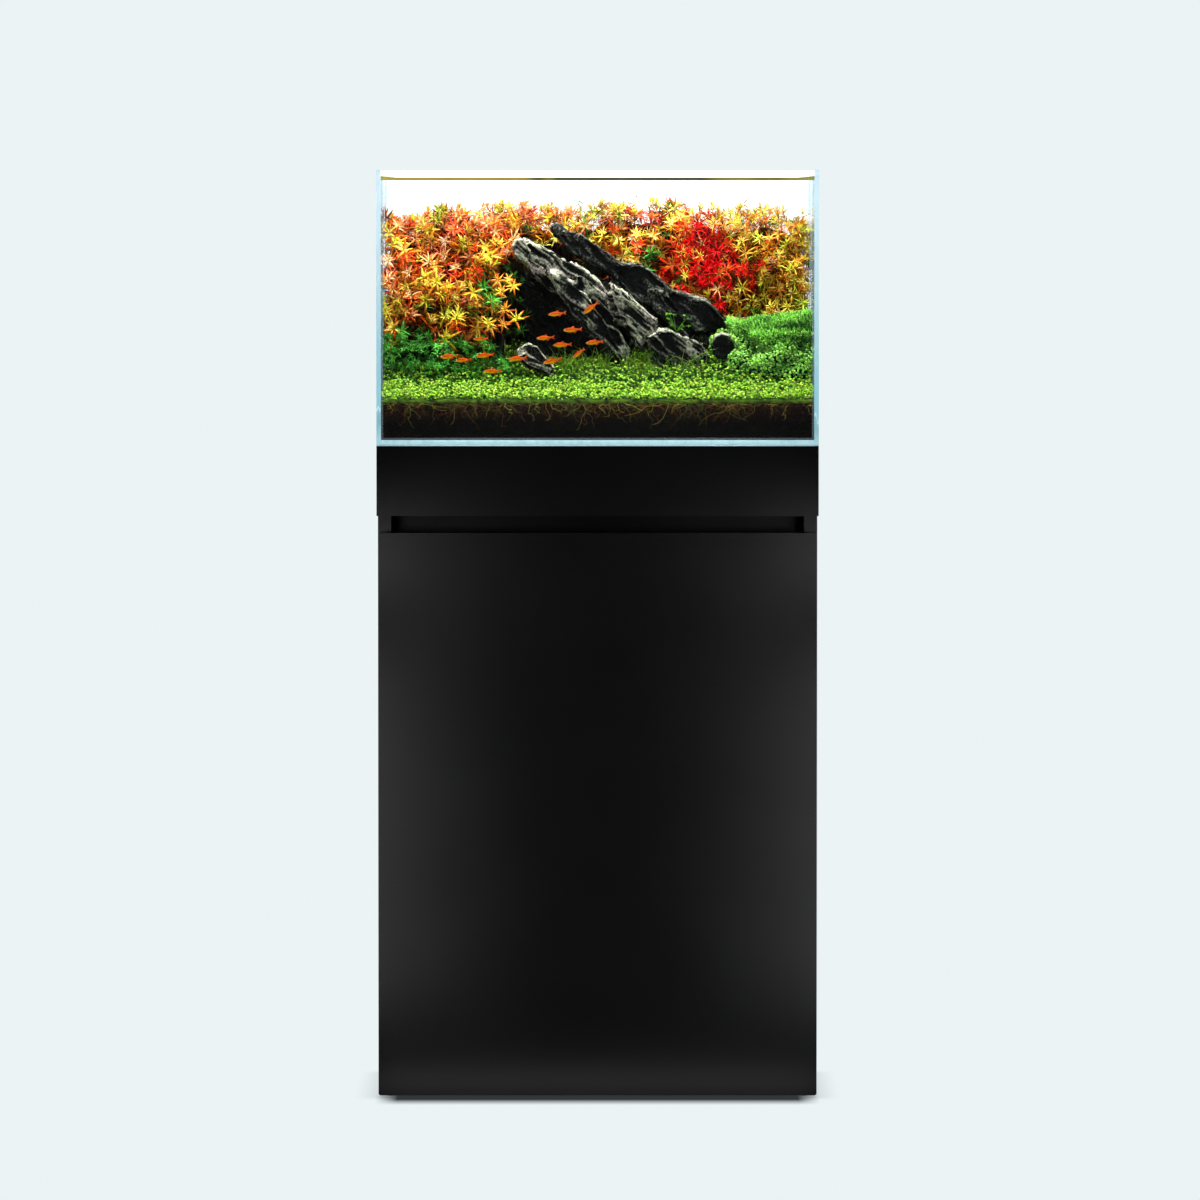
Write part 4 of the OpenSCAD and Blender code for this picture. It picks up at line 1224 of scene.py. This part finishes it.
def front_tips(x_span, inside, depth, pitch, rng):
    """Tips over the part of the front view that inside(x, z) allows. depth gives y."""
    flat = hex_grid((x_span[0], 990), (x_span[1], 1222), pitch, rng, 0.42)
    x, z = flat[:, 0], flat[:, 1]
    high = np.array([skyline(v) for v in x])
    keep = inside(x, z) & (z < high)
    x, z = x[keep], z[keep]
    return np.stack([x, depth(x, z) + rng.normal(0, 10, len(x)), z], 1)


def skyline(x):
    """Height of the plants' tips across the tank, as the front view shows it."""
    wave = 7 * noise.noise(Vector((x / 24, 5.0, 0))) + 6 * noise.noise(Vector((x / 9, 2.0, 0)))
    return float(np.interp(x, (-294, -262, -225, -120, -20, 70, 110, 170, 250, 294),
                           (1190, 1194, 1205, 1206, 1207, 1214, 1208, 1204, 1203, 1193))) + wave


def tall_tips(x_span, count, rng):
    """A few shoots that stand above the rest."""
    x = rng.uniform(*x_span, count)
    z = np.array([skyline(v) for v in x]) + rng.uniform(0, 9, count)
    return np.stack([x, rng.uniform(70, 150, count), z], 1)


def facing(count, rng, lean=(0.0, -0.8, 0.6), spread=0.36):
    return unit(np.array(lean) + rng.normal(0, spread, (count, 3)))


def top_tips(x_span, y_span, pitch, rng):
    """Tips over the top of the bush, which the view from above shows."""
    flat = hex_grid((x_span[0], y_span[0]), (x_span[1], y_span[1]), pitch, rng)
    z = np.array([skyline(x) for x in flat[:, 0]]) - rng.uniform(4, 16, len(flat))
    return np.stack([flat[:, 0], flat[:, 1], z], 1)


# A layer of a bush: its x span, its outline, its depth, spacing and scale of its shoots, number of whorls,
# wander of their axes, painted brightness (lower in the back layers, as painted shade) and breadth of leaf
def bush(name, node, layers, tops, backing, seed, more=None):
    """One stand of stem plants, from its front layers back to the dark thicket behind them."""
    rng = np.random.default_rng(SEED + seed)
    pile = Pile()
    for x_span, inside, depth, pitch, scale, whorls, spread, light, broad in layers:
        tips = front_tips(x_span, inside, depth, pitch, rng)
        axes = facing(len(tips), rng, spread=spread)
        sizes = scale * rng.uniform(0.7, 1.25, len(tips))
        shoots(pile, tips, axes, sizes, rng, whorls, light, broad)
        stems(pile, tips, axes, rng)
    broad = layers[0][-1]
    for x_span, y_span, pitch, scale in tops:
        tips = top_tips(x_span, y_span, pitch, rng)
        axes = facing(len(tips), rng, lean=(0, -0.25, 1), spread=0.22)
        sizes = scale * rng.uniform(0.85, 1.15, len(tips))
        shoots(pile, tips, axes, sizes, rng, 4, 1.0, broad)
        stems(pile, tips, axes, rng)
    x_span = layers[0][0]
    tips = tall_tips(x_span, int((x_span[1] - x_span[0]) / 8), rng)
    axes = facing(len(tips), rng, lean=(0, -0.35, 1), spread=0.16)
    shoots(pile, tips, axes, rng.uniform(0.8, 1.25, len(tips)), rng, 5, 1.0, broad)
    stems(pile, tips, axes, rng)
    if more is not None:
        more(pile, rng)
    for block in pile.points:
        in_glass(block)
    for x_low, x_high, low, y, drop in backing:
        thicket(pile, (x_low, x_high), low, drop, y, rng)
    piece(name, pile.mesh(name), [living(name + "_leaf", 0.42)], [node])


def left_outline(x, z):
    """The left bush ends in an uneven edge over the hollow beside the main stone."""
    edge = np.interp(z, (1000, 1040, 1063, 1080, 1105, 1120, 1145, 1160, 1180),
                     (-150, -144, -124, -132, -142, -136, -122, -110, -96))
    return (x < edge) & (z > 1022)


def middle_outline(x, z):
    return z > np.interp(x, (-124, -60, 0, 60, 120), (1140, 1166, 1136, 1112, 1078))


def right_outline(x, z):
    return z > np.interp(x, (100, 190, 294), (1080, 1040, 1046))


def left_depth(x, z):
    return np.interp(z, (1000, 1090, 1214), (-66, -50, 44)) + 10 * np.sin(x / 21)


def back_depth(x, z):
    return np.interp(z, (1040, 1150, 1214), (62, 68, 92)) + 6 * np.sin(x / 17 + 1)


# Single stars that stand out from the left bush: x, z and scale
LONE_STARS = np.array([
    (-116, 1104, 1.0), (-110, 1061, 1.15), (-207, 1034, 1.5), (-222, 1110, 1.5), (-170, 1096, 1.3),
    (-150, 1146, 1.5), (-150, 1056, 1.2), (-192, 1062, 1.4), (-236, 1086, 1.2), (-262, 1104, 1.2),
    (-131, 1097, 1.0), (-127, 1073, 1.0), (-136, 1112, 0.9), (-129, 1052, 0.9), (-122, 1113, 0.7),
])


# Green shoots in the hollow between the left bush and the main stone, dimmed by painted shade: x and z
HOLLOW_SHOOTS = np.array([
    (-124, 1128), (-116, 1118), (-127, 1108), (-104, 1112), (-118, 1090), (-106, 1084),
    (-128, 1074), (-98, 1066), (-118, 1062), (-106, 1044), (-124, 1040), (-100, 1024),
    (-114, 1020), (-130, 1052),
])


def left_details(pile, rng):
    """Lone gold stars, shoots dimmed by painted shade in the hollow, and low green plants before the left
    bush, painted darker row by row towards the back.
    """
    tips = np.stack([LONE_STARS[:, 0], left_depth(LONE_STARS[:, 0], LONE_STARS[:, 1]) - 16,
                     LONE_STARS[:, 1]], 1)
    axes = facing(len(tips), rng, lean=(0.0, -1.0, 0.45), spread=0.14)
    kind = (np.arange(len(tips)) > 9).astype(int)
    shoots(pile, tips, axes, LONE_STARS[:, 2] * 1.05, rng, 4, 1.15, 1.1, kind)
    stems(pile, tips, axes, rng)
    green = list(SHOOTS).index("green")
    x, z = HOLLOW_SHOOTS.T
    tips = np.stack([x, rng.uniform(-26, -6, len(x)), z], 1)
    axes = facing(len(tips), rng, spread=0.6)
    sizes = rng.uniform(0.6, 0.95, len(tips))
    shoots(pile, tips, axes, sizes, rng, 4, 0.42, 1.1, np.full(len(tips), green))
    for y, light in ((-86, 1.9), (-70, 1.2), (-50, 0.6)):
        flat = hex_grid((-292, bed_height(y) + 4), (-118, 1040), 12.5, rng, 0.45)
        height = np.interp(flat[:, 0], (-292, -230, -150, -118), (1044, 1034, 1026, 1000))
        flat = flat[flat[:, 1] < height + rng.normal(0, 5, len(flat))]
        tips = np.stack([flat[:, 0], y + rng.normal(0, 6, len(flat)), flat[:, 1]], 1)
        axes = facing(len(tips), rng, spread=0.6)
        sizes = rng.uniform(0.46, 0.74, len(tips))
        shoots(pile, tips, axes, sizes, rng, 3, light, 1.35, np.full(len(tips), green))


# The crimson shoots in front of the right bush: x and z
RUBY_SHOOTS = np.array([
    (112, 1138), (126, 1150), (140, 1140), (134, 1122), (152, 1128), (146, 1108), (160, 1112),
    (166, 1134), (118, 1124), (128, 1166), (156, 1150), (174, 1106), (122, 1180), (196, 1122),
])


def right_details(pile, rng):
    """The cluster of crimson shoots above the spire stone."""
    x, z = RUBY_SHOOTS.T
    tips = np.stack([x, back_depth(x, z) - 12, z], 1)
    axes = facing(len(tips), rng, spread=0.4)
    crimson = np.full(len(tips), list(SHOOTS).index("crimson"))
    shoots(pile, tips, axes, rng.uniform(0.8, 1.15, len(tips)), rng, 5, 1.45, 0.9, crimson)
    stems(pile, tips, axes, rng)


def stem_plants():
    left = (-292, -96)
    bush("left_stem_plants", "stem_plants_left", [
        (left, left_outline, left_depth, 22.0, 1.3, 6, 0.5, 1.6, 1.15),
        (left, left_outline, lambda x, z: left_depth(x, z) + 16, 17.0, 1.15, 5, 0.5, 0.85, 1.1),
        (left, left_outline, lambda x, z: left_depth(x, z) + 34, 19.0, 1.2, 3, 0.5, 0.42, 1.1),
    ], [((-286, -112), (60, 168), 25.0, 1.1)], [
        (-282, -92, 985, 74, 24), (-282, -128, 985, 0, 110)
    ], 10, left_details)
    middle = (-122, 122)
    bush("middle_stem_plants", "stem_plants_middle", [
        (middle, middle_outline, back_depth, 17.0, 1.1, 6, 0.5, 2.05, 0.9),
        (middle, middle_outline, lambda x, z: back_depth(x, z) + 18, 15.0, 1.0, 5, 0.5, 0.75, 0.9),
    ], [((-112, 112), (106, 168), 23.0, 1.0)], [(-122, 122, 1040, 112, 24)], 11)
    right = (112, 292)
    bush("right_stem_plants", "stem_plants_right", [
        (right, right_outline, back_depth, 14.5, 1.1, 6, 0.5, 1.4, 0.66),
        (right, right_outline, lambda x, z: back_depth(x, z) + 18, 13.5, 1.0, 5, 0.5, 0.8, 0.62),
    ], [((120, 286), (106, 168), 23.0, 0.95)], [(118, 282, 1000, 104, 24)], 12, right_details)


def side_shoots():
    """Shoots that lean on the side panes, so that the stands have depth from the side."""
    rng = np.random.default_rng(SEED + 13)
    pile = Pile()
    for side, front, crest in (
        (-1, (-60, -50, 44, 172), (1020, 1090, 1196, 1196)), (1, (62, 72, 92, 172), (1040, 1150, 1196, 1196))
    ):
        flat = hex_grid((front[0], 1020), (front[-1], 1205), 19.0, rng, 0.4)
        y, z = flat[flat[:, 1] < np.interp(flat[:, 0], front, crest)].T
        keep = z > bed_height(y) + 12
        y, z = y[keep], z[keep]
        x = side * (IN_X - rng.uniform(9, 24, len(y)))
        tips = np.stack([x, y, z], 1)
        axes = facing(len(tips), rng, (side * 0.8, -0.15, 0.6), 0.34)
        shoots(pile, tips, axes, rng.uniform(0.85, 1.35, len(tips)), rng, 4)
    for block in pile.points:
        in_glass(block)
    me = pile.mesh("side_shoots")
    piece("side_shoots", me, [living("side_shoots_leaf", 0.42)])


# ---- Fish ----


def fish_places():
    """Middle, heading and length of each fish, from the loose parts of its CAD node."""
    bm = bmesh.new()
    bm.from_mesh(frame["nodes"]["fish"].data)
    bmesh.ops.remove_doubles(bm, verts=bm.verts, dist=1e-6)
    left = set(bm.verts)
    places = []
    while left:
        todo, part = [min(left, key=lambda v: v.index)], []
        left.discard(todo[0])
        while todo:
            v = todo.pop()
            part.append(v.co[:])
            for edge in v.link_edges:
                other = edge.other_vert(v)
                if other in left:
                    left.discard(other)
                    todo.append(other)
        points = np.array(part) / MM
        low, high = points.min(0), points.max(0)
        nose = points[points[:, 0].argmin()]
        tail = points[points[:, 0] > high[0] - 1.0].mean(0)
        tail[1] = nose[1] = (low[1] + high[1]) / 2
        places.append(((nose + tail) / 2, unit(nose - tail), float(np.linalg.norm(nose - tail))))
    bm.free()
    return sorted(places, key=lambda p: p[0][0])


# Along the body from nose to tail root: share of length, half depth, half width
BODY = [
    (0.0, 0.012, 0.01), (0.05, 0.046, 0.03), (0.13, 0.082, 0.046), (0.25, 0.112, 0.056),
    (0.38, 0.122, 0.056), (0.52, 0.104, 0.046), (0.64, 0.072, 0.032), (0.74, 0.046, 0.018),
    (0.8, 0.038, 0.012),
]
FISH_BACK = np.array(linear(190, 62, 22))
FISH_SIDE = np.array(linear(238, 104, 26))
FISH_BELLY = np.array(linear(252, 206, 60))
FISH_FIN = np.array(linear(214, 84, 34))


def fish_shape():
    """One fish, 1 long, nose at x 0 and swimming towards -X: points, tints, face blocks."""
    sides = 12
    points, tints = [], []
    for t, tall, wide in BODY:
        for i in range(sides):
            a = 2 * math.pi * i / sides
            up = math.cos(a)
            points.append((t, math.sin(a) * wide, up * tall + 0.01 * math.sin(math.pi * t)))
            rgb = FISH_SIDE + (FISH_BACK - FISH_SIDE) * max(up, 0) ** 0.7
            rgb = rgb + (FISH_BELLY - rgb) * max(-up, 0) ** 0.8 * float(t < 0.6)
            tints.append(rgb)
    rings = len(BODY)
    quads = [
        [r * sides + i, r * sides + (i + 1) % sides, (r + 1) * sides + (i + 1) % sides,
         (r + 1) * sides + i] for r in range(rings - 1) for i in range(sides)
    ]
    caps = [list(range(sides))[::-1], list(range((rings - 1) * sides, rings * sides))]
    blocks = [np.array(quads), np.array(caps)]
    return np.array(points), np.array(tints), blocks


# Fins as outlines in x and z, with half their thickness
FINS = [
    [(0.42, 0.1), (0.47, 0.18), (0.56, 0.17), (0.56, 0.09)],
    [(0.5, -0.1), (0.56, -0.17), (0.66, -0.12), (0.72, -0.04)],
    [(0.79, 0.035), (0.98, 0.11), (0.91, 0.0), (0.98, -0.11), (0.79, -0.035)],
    [(0.3, -0.11), (0.35, -0.16), (0.4, -0.11)],
]


def fish():
    """A shoal of small orange fish, where the CAD solids are."""
    body, body_rgb, blocks = fish_shape()
    eye_points, eye_faces = icosahedron()
    pile = Pile()
    for middle, heading, length in fish_places():
        up = unit(np.cross(np.cross(heading, np.array([0, 0, 1.0])), heading))
        across = np.cross(heading, up)
        nose = middle + heading * length / 2

        def place(local):
            local = np.asarray(local) * length
            return nose - heading * local[:, :1] + across * local[:, 1:2] + up * local[:, 2:3]

        pile.put(place(body), body_rgb, blocks)
        for outline in FINS:
            n = len(outline)
            flat = [(x, side, z) for side in (-0.006, 0.006) for x, z in outline]
            walls = [[i, (i + 1) % n, n + (i + 1) % n, n + i] for i in range(n)]
            faces = [walls, [list(range(n))[::-1]], [list(range(n, 2 * n))]]
            pile.put(place(flat), np.tile(FISH_FIN, (2 * n, 1)), faces)
        for side in (-1, 1):
            for size, depth, rgb in ((0.036, 0.036, (0.8, 0.55, 0.3)), (0.024, 0.05, (0.01,) * 3)):
                local = eye_points * size + np.array([0.085, side * depth, 0.025])
                pile.put(place(local), np.tile(rgb, (len(local), 1)), [eye_faces])
    piece("shoal", pile.mesh("shoal"), [living("fish_scales", 0.28)], ["fish"])


# ---- Water ----


def water():
    """The body of water, with its skin drawn up where it meets the glass."""
    gap, around = 0.2, 40
    band, rise, corner_rise = 2.9, 2.3, 2.0
    half_x = IN_X - gap
    y_low, y_high = IN_FRONT + gap, IN_BACK - gap
    side_y = [y_low] + [y for y in BED_Y[1:-1]] + [y_high]
    front_x = list(np.linspace(-half_x, half_x, around))
    loop = [(x, y_low) for x in front_x]
    loop += [(half_x, y) for y in side_y[1:-1]]
    loop += [(x, y_high) for x in front_x[::-1]]
    loop += [(-half_x, y) for y in side_y[-2:0:-1]]
    flat = np.array(loop)
    n = len(flat)
    to_corner = half_x - np.abs(flat[:, 0])
    lifted = rise + corner_rise * np.exp(-to_corner / 5.0)

    def ring(inset, z):
        x = np.clip(flat[:, 0], -half_x + inset, half_x - inset)
        y = np.clip(flat[:, 1], y_low + inset, y_high - inset)
        return np.stack([x, y, z], 1)

    rings = [ring(0, bed_height(flat[:, 1]) + 1.0), ring(0, WATER_Z - band + lifted * 0.2)]
    for inset, share in ((0, 1.0), (0.7, 0.62), (1.6, 0.34), (3.2, 0.12), (6.0, 0.0)):
        rings.append(ring(inset, WATER_Z - 0.9 + lifted * share))
    points = np.concatenate(rings)
    quads = [
        [k * n + i, k * n + (i + 1) % n, (k + 1) * n + (i + 1) % n, (k + 1) * n + i]
        for k in range(len(rings) - 1) for i in range(n)
    ]
    top = list(range((len(rings) - 1) * n, len(rings) * n))
    first_right = around
    last_left = n - 1
    rows = len(side_y) - 2
    bottom = [list(range(around - 1, -1, -1)) + [last_left, first_right]]
    for k in range(rows - 1):
        bottom.append([first_right + k, last_left - k, last_left - k - 1, first_right + k + 1])
    back_start = around + rows
    bottom.append(
        [first_right + rows - 1, last_left - rows + 1]
        + list(range(back_start + around - 1, back_start - 1, -1))
    )
    pile = Pile()
    tints = np.ones((len(points), 3))
    body = [q for k, q in enumerate(quads) if k // n != 1]
    skin = [q for k, q in enumerate(quads) if k // n == 1]
    shapes = [[f] for f in bottom] + [[top]]
    pile.put(points, tints, [np.array(body)] + [np.array(s) for s in shapes])
    pile.count -= len(points)
    pile.put(points[:0], tints[:0], [np.array(skin)], slot=1)
    pile.count += len(points)
    me = pile.mesh("tank_water", smooth=False)
    outward(me)
    piece("tank_water", me, [clear_water("still_water"), meniscus("water_line")], ["water"])


# ---- Carried-over CAD nodes ----


def finish_node(name, mat, bevel=0.0, segments=2):
    """Gives a CAD node its material and, if asked, softened edges."""
    node = frame["nodes"][name]
    node.data.materials.clear()
    node.data.materials.append(mat)
    if bevel:
        soften = node.modifiers.new("soft_edges", "BEVEL")
        soften.width, soften.segments = bevel * MM, segments
        soften.limit_method, soften.angle_limit = "ANGLE", math.radians(40)
        soften.harden_normals = True


def cabinet_materials():
    board = lacquer("black_lacquer", 0.0007, 0.34)
    recess = lacquer("recess_lacquer", 0.0006, 0.6, 0.02, 0.001)
    zinc = brushed_metal("zinc_plate", (0.56, 0.57, 0.6))
    dark_steel = brushed_metal("black_oxide_steel", (0.05, 0.05, 0.055), 0.45)
    rubber = moulded_plastic("black_rubber", (0.012, 0.012, 0.013), 0.6)
    clear = moulded_plastic("clear_bumper_gel", (0.62, 0.65, 0.66), 0.3)
    boards = ["side_panel_left", "side_panel_right", "bottom_panel", "top_panel", "back_panel",
              "front_apron", "shelf", "door_panel"]
    for name in boards:
        finish_node(name, board, bevel=1.2)
    finish_node("groove_rail", recess, bevel=0.6)
    steel = ["shelf_pins", "cam_locks", "cam_bolts", "foot_inserts", "hinge_plate_lower",
             "hinge_plate_upper", "hinge_arm_lower", "hinge_arm_upper", "plate_screws", "arm_pins",
             "hinge_link_lower", "hinge_link_upper", "hinge_cup_lower", "hinge_cup_upper",
             "cup_screws", "cup_pins", "foot_stem_front_left", "foot_stem_front_right",
             "foot_stem_rear_left", "foot_stem_rear_right"]
    for name in steel:
        finish_node(name, zinc)
    finish_node("back_screws", dark_steel)
    finish_node("wood_dowels", beech("beech_dowel_wood"))
    for name in ("hose_grommets", "foot_pad_front_left", "foot_pad_front_right",
                 "foot_pad_rear_left", "foot_pad_rear_right"):
        finish_node(name, rubber)
    finish_node("door_bumpers", clear)


def tank_materials():
    across = pane_glass("pane_across_y", "Y")
    finish_node("tank_front_pane", across)
    finish_node("tank_back_pane", across)
    sides = pane_glass("pane_across_x", "X")
    finish_node("tank_left_pane", sides)
    finish_node("tank_right_pane", sides)
    finish_node("tank_bottom_pane", pane_glass("pane_across_z", "Z"))
    seam = clear_silicone("silicone_seam")
    finish_node("corner_seams", seam)
    finish_node("base_seams", seam)
    finish_node("background_film", white_film("opal_film"))
    finish_node("levelling_mat", foam("mat_foam"))


# ---- Camera, lights and floor ----

# Strength of the film's painted glow
FILM_PAINTED_GLOW = 1.0
# Strength of the painted glow of the pane edges
EDGE_PAINTED_GLOW = 0.45
# Pale blue of the pane edges against height, with painted light: lighter towards the top and at the very
# bottom, and a thin painted white highlight at 0.1075
EDGE_TINTS_AND_PAINTED_LIGHT = [
    (0.0, linear(174, 206, 212)), (0.06, linear(146, 186, 196)), (0.104, linear(152, 194, 204)),
    (0.1075, (1.0, 1.0, 1.0)), (0.111, linear(158, 200, 210)), (0.25, linear(158, 198, 208)),
    (0.6, linear(190, 212, 219)), (1.0, linear(208, 224, 232))
]
STAND_OFF = 12000.0
VIEW_WIDTH = 1629.0
CAMERA_Z = 1245.0
AIM = (3.3, 679.0)
SENSOR = 36.0


def camera():
    """Looks square at the front from far off, a little above the tank's rim."""
    data = bpy.data.cameras.new("camera")
    ob = bpy.data.objects.new("camera", data)
    bpy.context.scene.collection.objects.link(ob)
    data.sensor_width = SENSOR
    target = Vector((AIM[0], FRONT_Y, AIM[1])) * MM
    ob.location = Vector((AIM[0], FRONT_Y - STAND_OFF, CAMERA_Z)) * MM
    away = target - ob.location
    data.lens = SENSOR * away.length / (VIEW_WIDTH * MM)
    data.clip_start, data.clip_end = 0.5, 200
    ob.rotation_mode = "QUATERNION"
    ob.rotation_quaternion = away.to_track_quat("-Z", "Y")
    bpy.context.scene.camera = ob


def area_light(name, size, at, aim, power, colour=(1, 1, 1)):
    """A soft box, in metres and watts, that the camera doesn't see."""
    data = bpy.data.lights.new(name, "AREA")
    data.shape, data.size, data.size_y = "RECTANGLE", size[0], size[1]
    data.energy, data.color = power, colour
    ob = bpy.data.objects.new(name, data)
    bpy.context.scene.collection.objects.link(ob)
    ob.location = at
    ob.rotation_mode = "QUATERNION"
    ob.rotation_quaternion = (Vector(aim) - Vector(at)).to_track_quat("-Z", "Y")
    ob.visible_camera = False
    return ob


def lights():
    lamp = area_light("tank_lamp", (0.6, 0.3), (0, -0.02, 1.62), (0, 0, 1.1), 13, (1.0, 0.98, 0.95))
    lamp.visible_glossy = False
    area_light("fill_left", (1.2, 1.2), (-1.7, -2.1, 1.9), (0, 0, 1.05), 34)
    area_light("fill_right", (1.2, 1.2), (1.7, -2.1, 1.9), (0, 0, 1.05), 34)
    for side in (-1, 1):
        for z, wide, tall, power in ((0.365, 0.1, 0.51, 2.6), (0.735, 0.18, 0.08, 0.8)):
            at, aim = (side * 0.46, -0.4, z), (side * 0.24, -0.18, z)
            strip = area_light("edge_strip", (wide, tall), at, aim, power)
            strip.data.spread = math.radians(54)
    area_light("top_line", (0.5, 0.05), (0, -0.9, 1.5), (0, -0.18, 0.77), 0.3)
    area_light("floor_strip", (0.62, 0.012), (0, -0.33, 0.008), (0, -0.18, 0.012), 0.22)


def world():
    """The page's own colour for the camera, and dim soft light for everything else."""
    backdrop = bpy.data.worlds.new("studio")
    backdrop.use_nodes = True
    bpy.context.scene.world = backdrop
    tree = backdrop.node_tree
    out = tree.nodes["World Output"]
    page = tree.nodes["Background"]
    page.inputs["Color"].default_value = (*PAGE, 1)
    towards = add(tree, "SeparateXYZ", {0: add(tree, "TexCoord").outputs["Generated"]})
    behind_camera = span(tree, towards.outputs["Y"], -0.5, 0.2, 0.002, 0.4)
    soft = add(tree, "Background", {"Color": (0.95, 0.98, 1, 1), "Strength": behind_camera})
    seen = add(tree, "LightPath").outputs["Is Camera Ray"]
    both = add(tree, "MixShader", {0: seen, 1: soft.outputs[0], 2: page.outputs[0]})
    tree.links.new(both.outputs[0], out.inputs["Surface"])


def floor():
    """A plain pale floor that meets the page's colour, with painted shadow: ambient occlusion darkens it
    near the cabinet, and a dark patch is painted under the cabinet and up to about 90 mm in front of it.
    """
    reach, shadow_reach = 40.0, 0.035
    me = bpy.data.meshes.new("floor")
    corners = [(-reach, -reach, 0), (reach, -reach, 0), (reach, reach, 0), (-reach, reach, 0)]
    me.from_pydata(corners, [], [(0, 1, 2, 3)])
    ob = bpy.data.objects.new("floor", me)
    bpy.context.scene.collection.objects.link(ob)
    mat = bpy.data.materials.new("pale_floor")
    mat.use_nodes = True
    me.materials.append(mat)
    tree = mat.node_tree
    tree.nodes.remove(tree.nodes["Principled BSDF"])
    out = tree.nodes["Material Output"]
    covered = add(tree, "AmbientOcclusion", {"Distance": shadow_reach}, samples=8).outputs["AO"]
    soft = mix_colour(tree, covered, tuple(c * 0.55 for c in PAGE), PAGE)
    place = add(tree, "SeparateXYZ", {0: position(tree)}).outputs
    # Painted shadow: a dark patch under the cabinet that reaches about 90 mm in front of it.
    half = box_mm("top_panel")[1][0] * MM
    ahead = span(tree, place["Y"], (FRONT_Y - 88) * MM, (FRONT_Y - 16) * MM)
    sideways = math_node(tree, "ABSOLUTE", place["X"])
    within = span(tree, sideways, half + 0.004, half - 0.026)
    behind = span(tree, place["Y"], -FRONT_Y * MM, (-FRONT_Y - 12) * MM)
    dark = math_node(tree, "MULTIPLY", math_node(tree, "MULTIPLY", ahead, within), behind)
    shade = mix_colour(tree, dark, soft, linear(52, 55, 58))
    page = add(tree, "Emission", {"Color": shade})
    lit = add(tree, "BsdfDiffuse", {"Color": (0.3, 0.31, 0.32, 1)})
    seen = add(tree, "LightPath").outputs["Is Camera Ray"]
    both = add(tree, "MixShader", {0: seen, 1: lit.outputs[0], 2: page.outputs[0]})
    tree.links.new(both.outputs[0], out.inputs["Surface"])


camera()
cabinet_materials()
tank_materials()
stones()
soil()
roots()
carpet()
moss()
hairgrass()
sprig()
stem_plants()
side_shoots()
fish()
water()
lights()
world()
floor()
bpy.context.scene.view_settings.view_transform = "Standard"
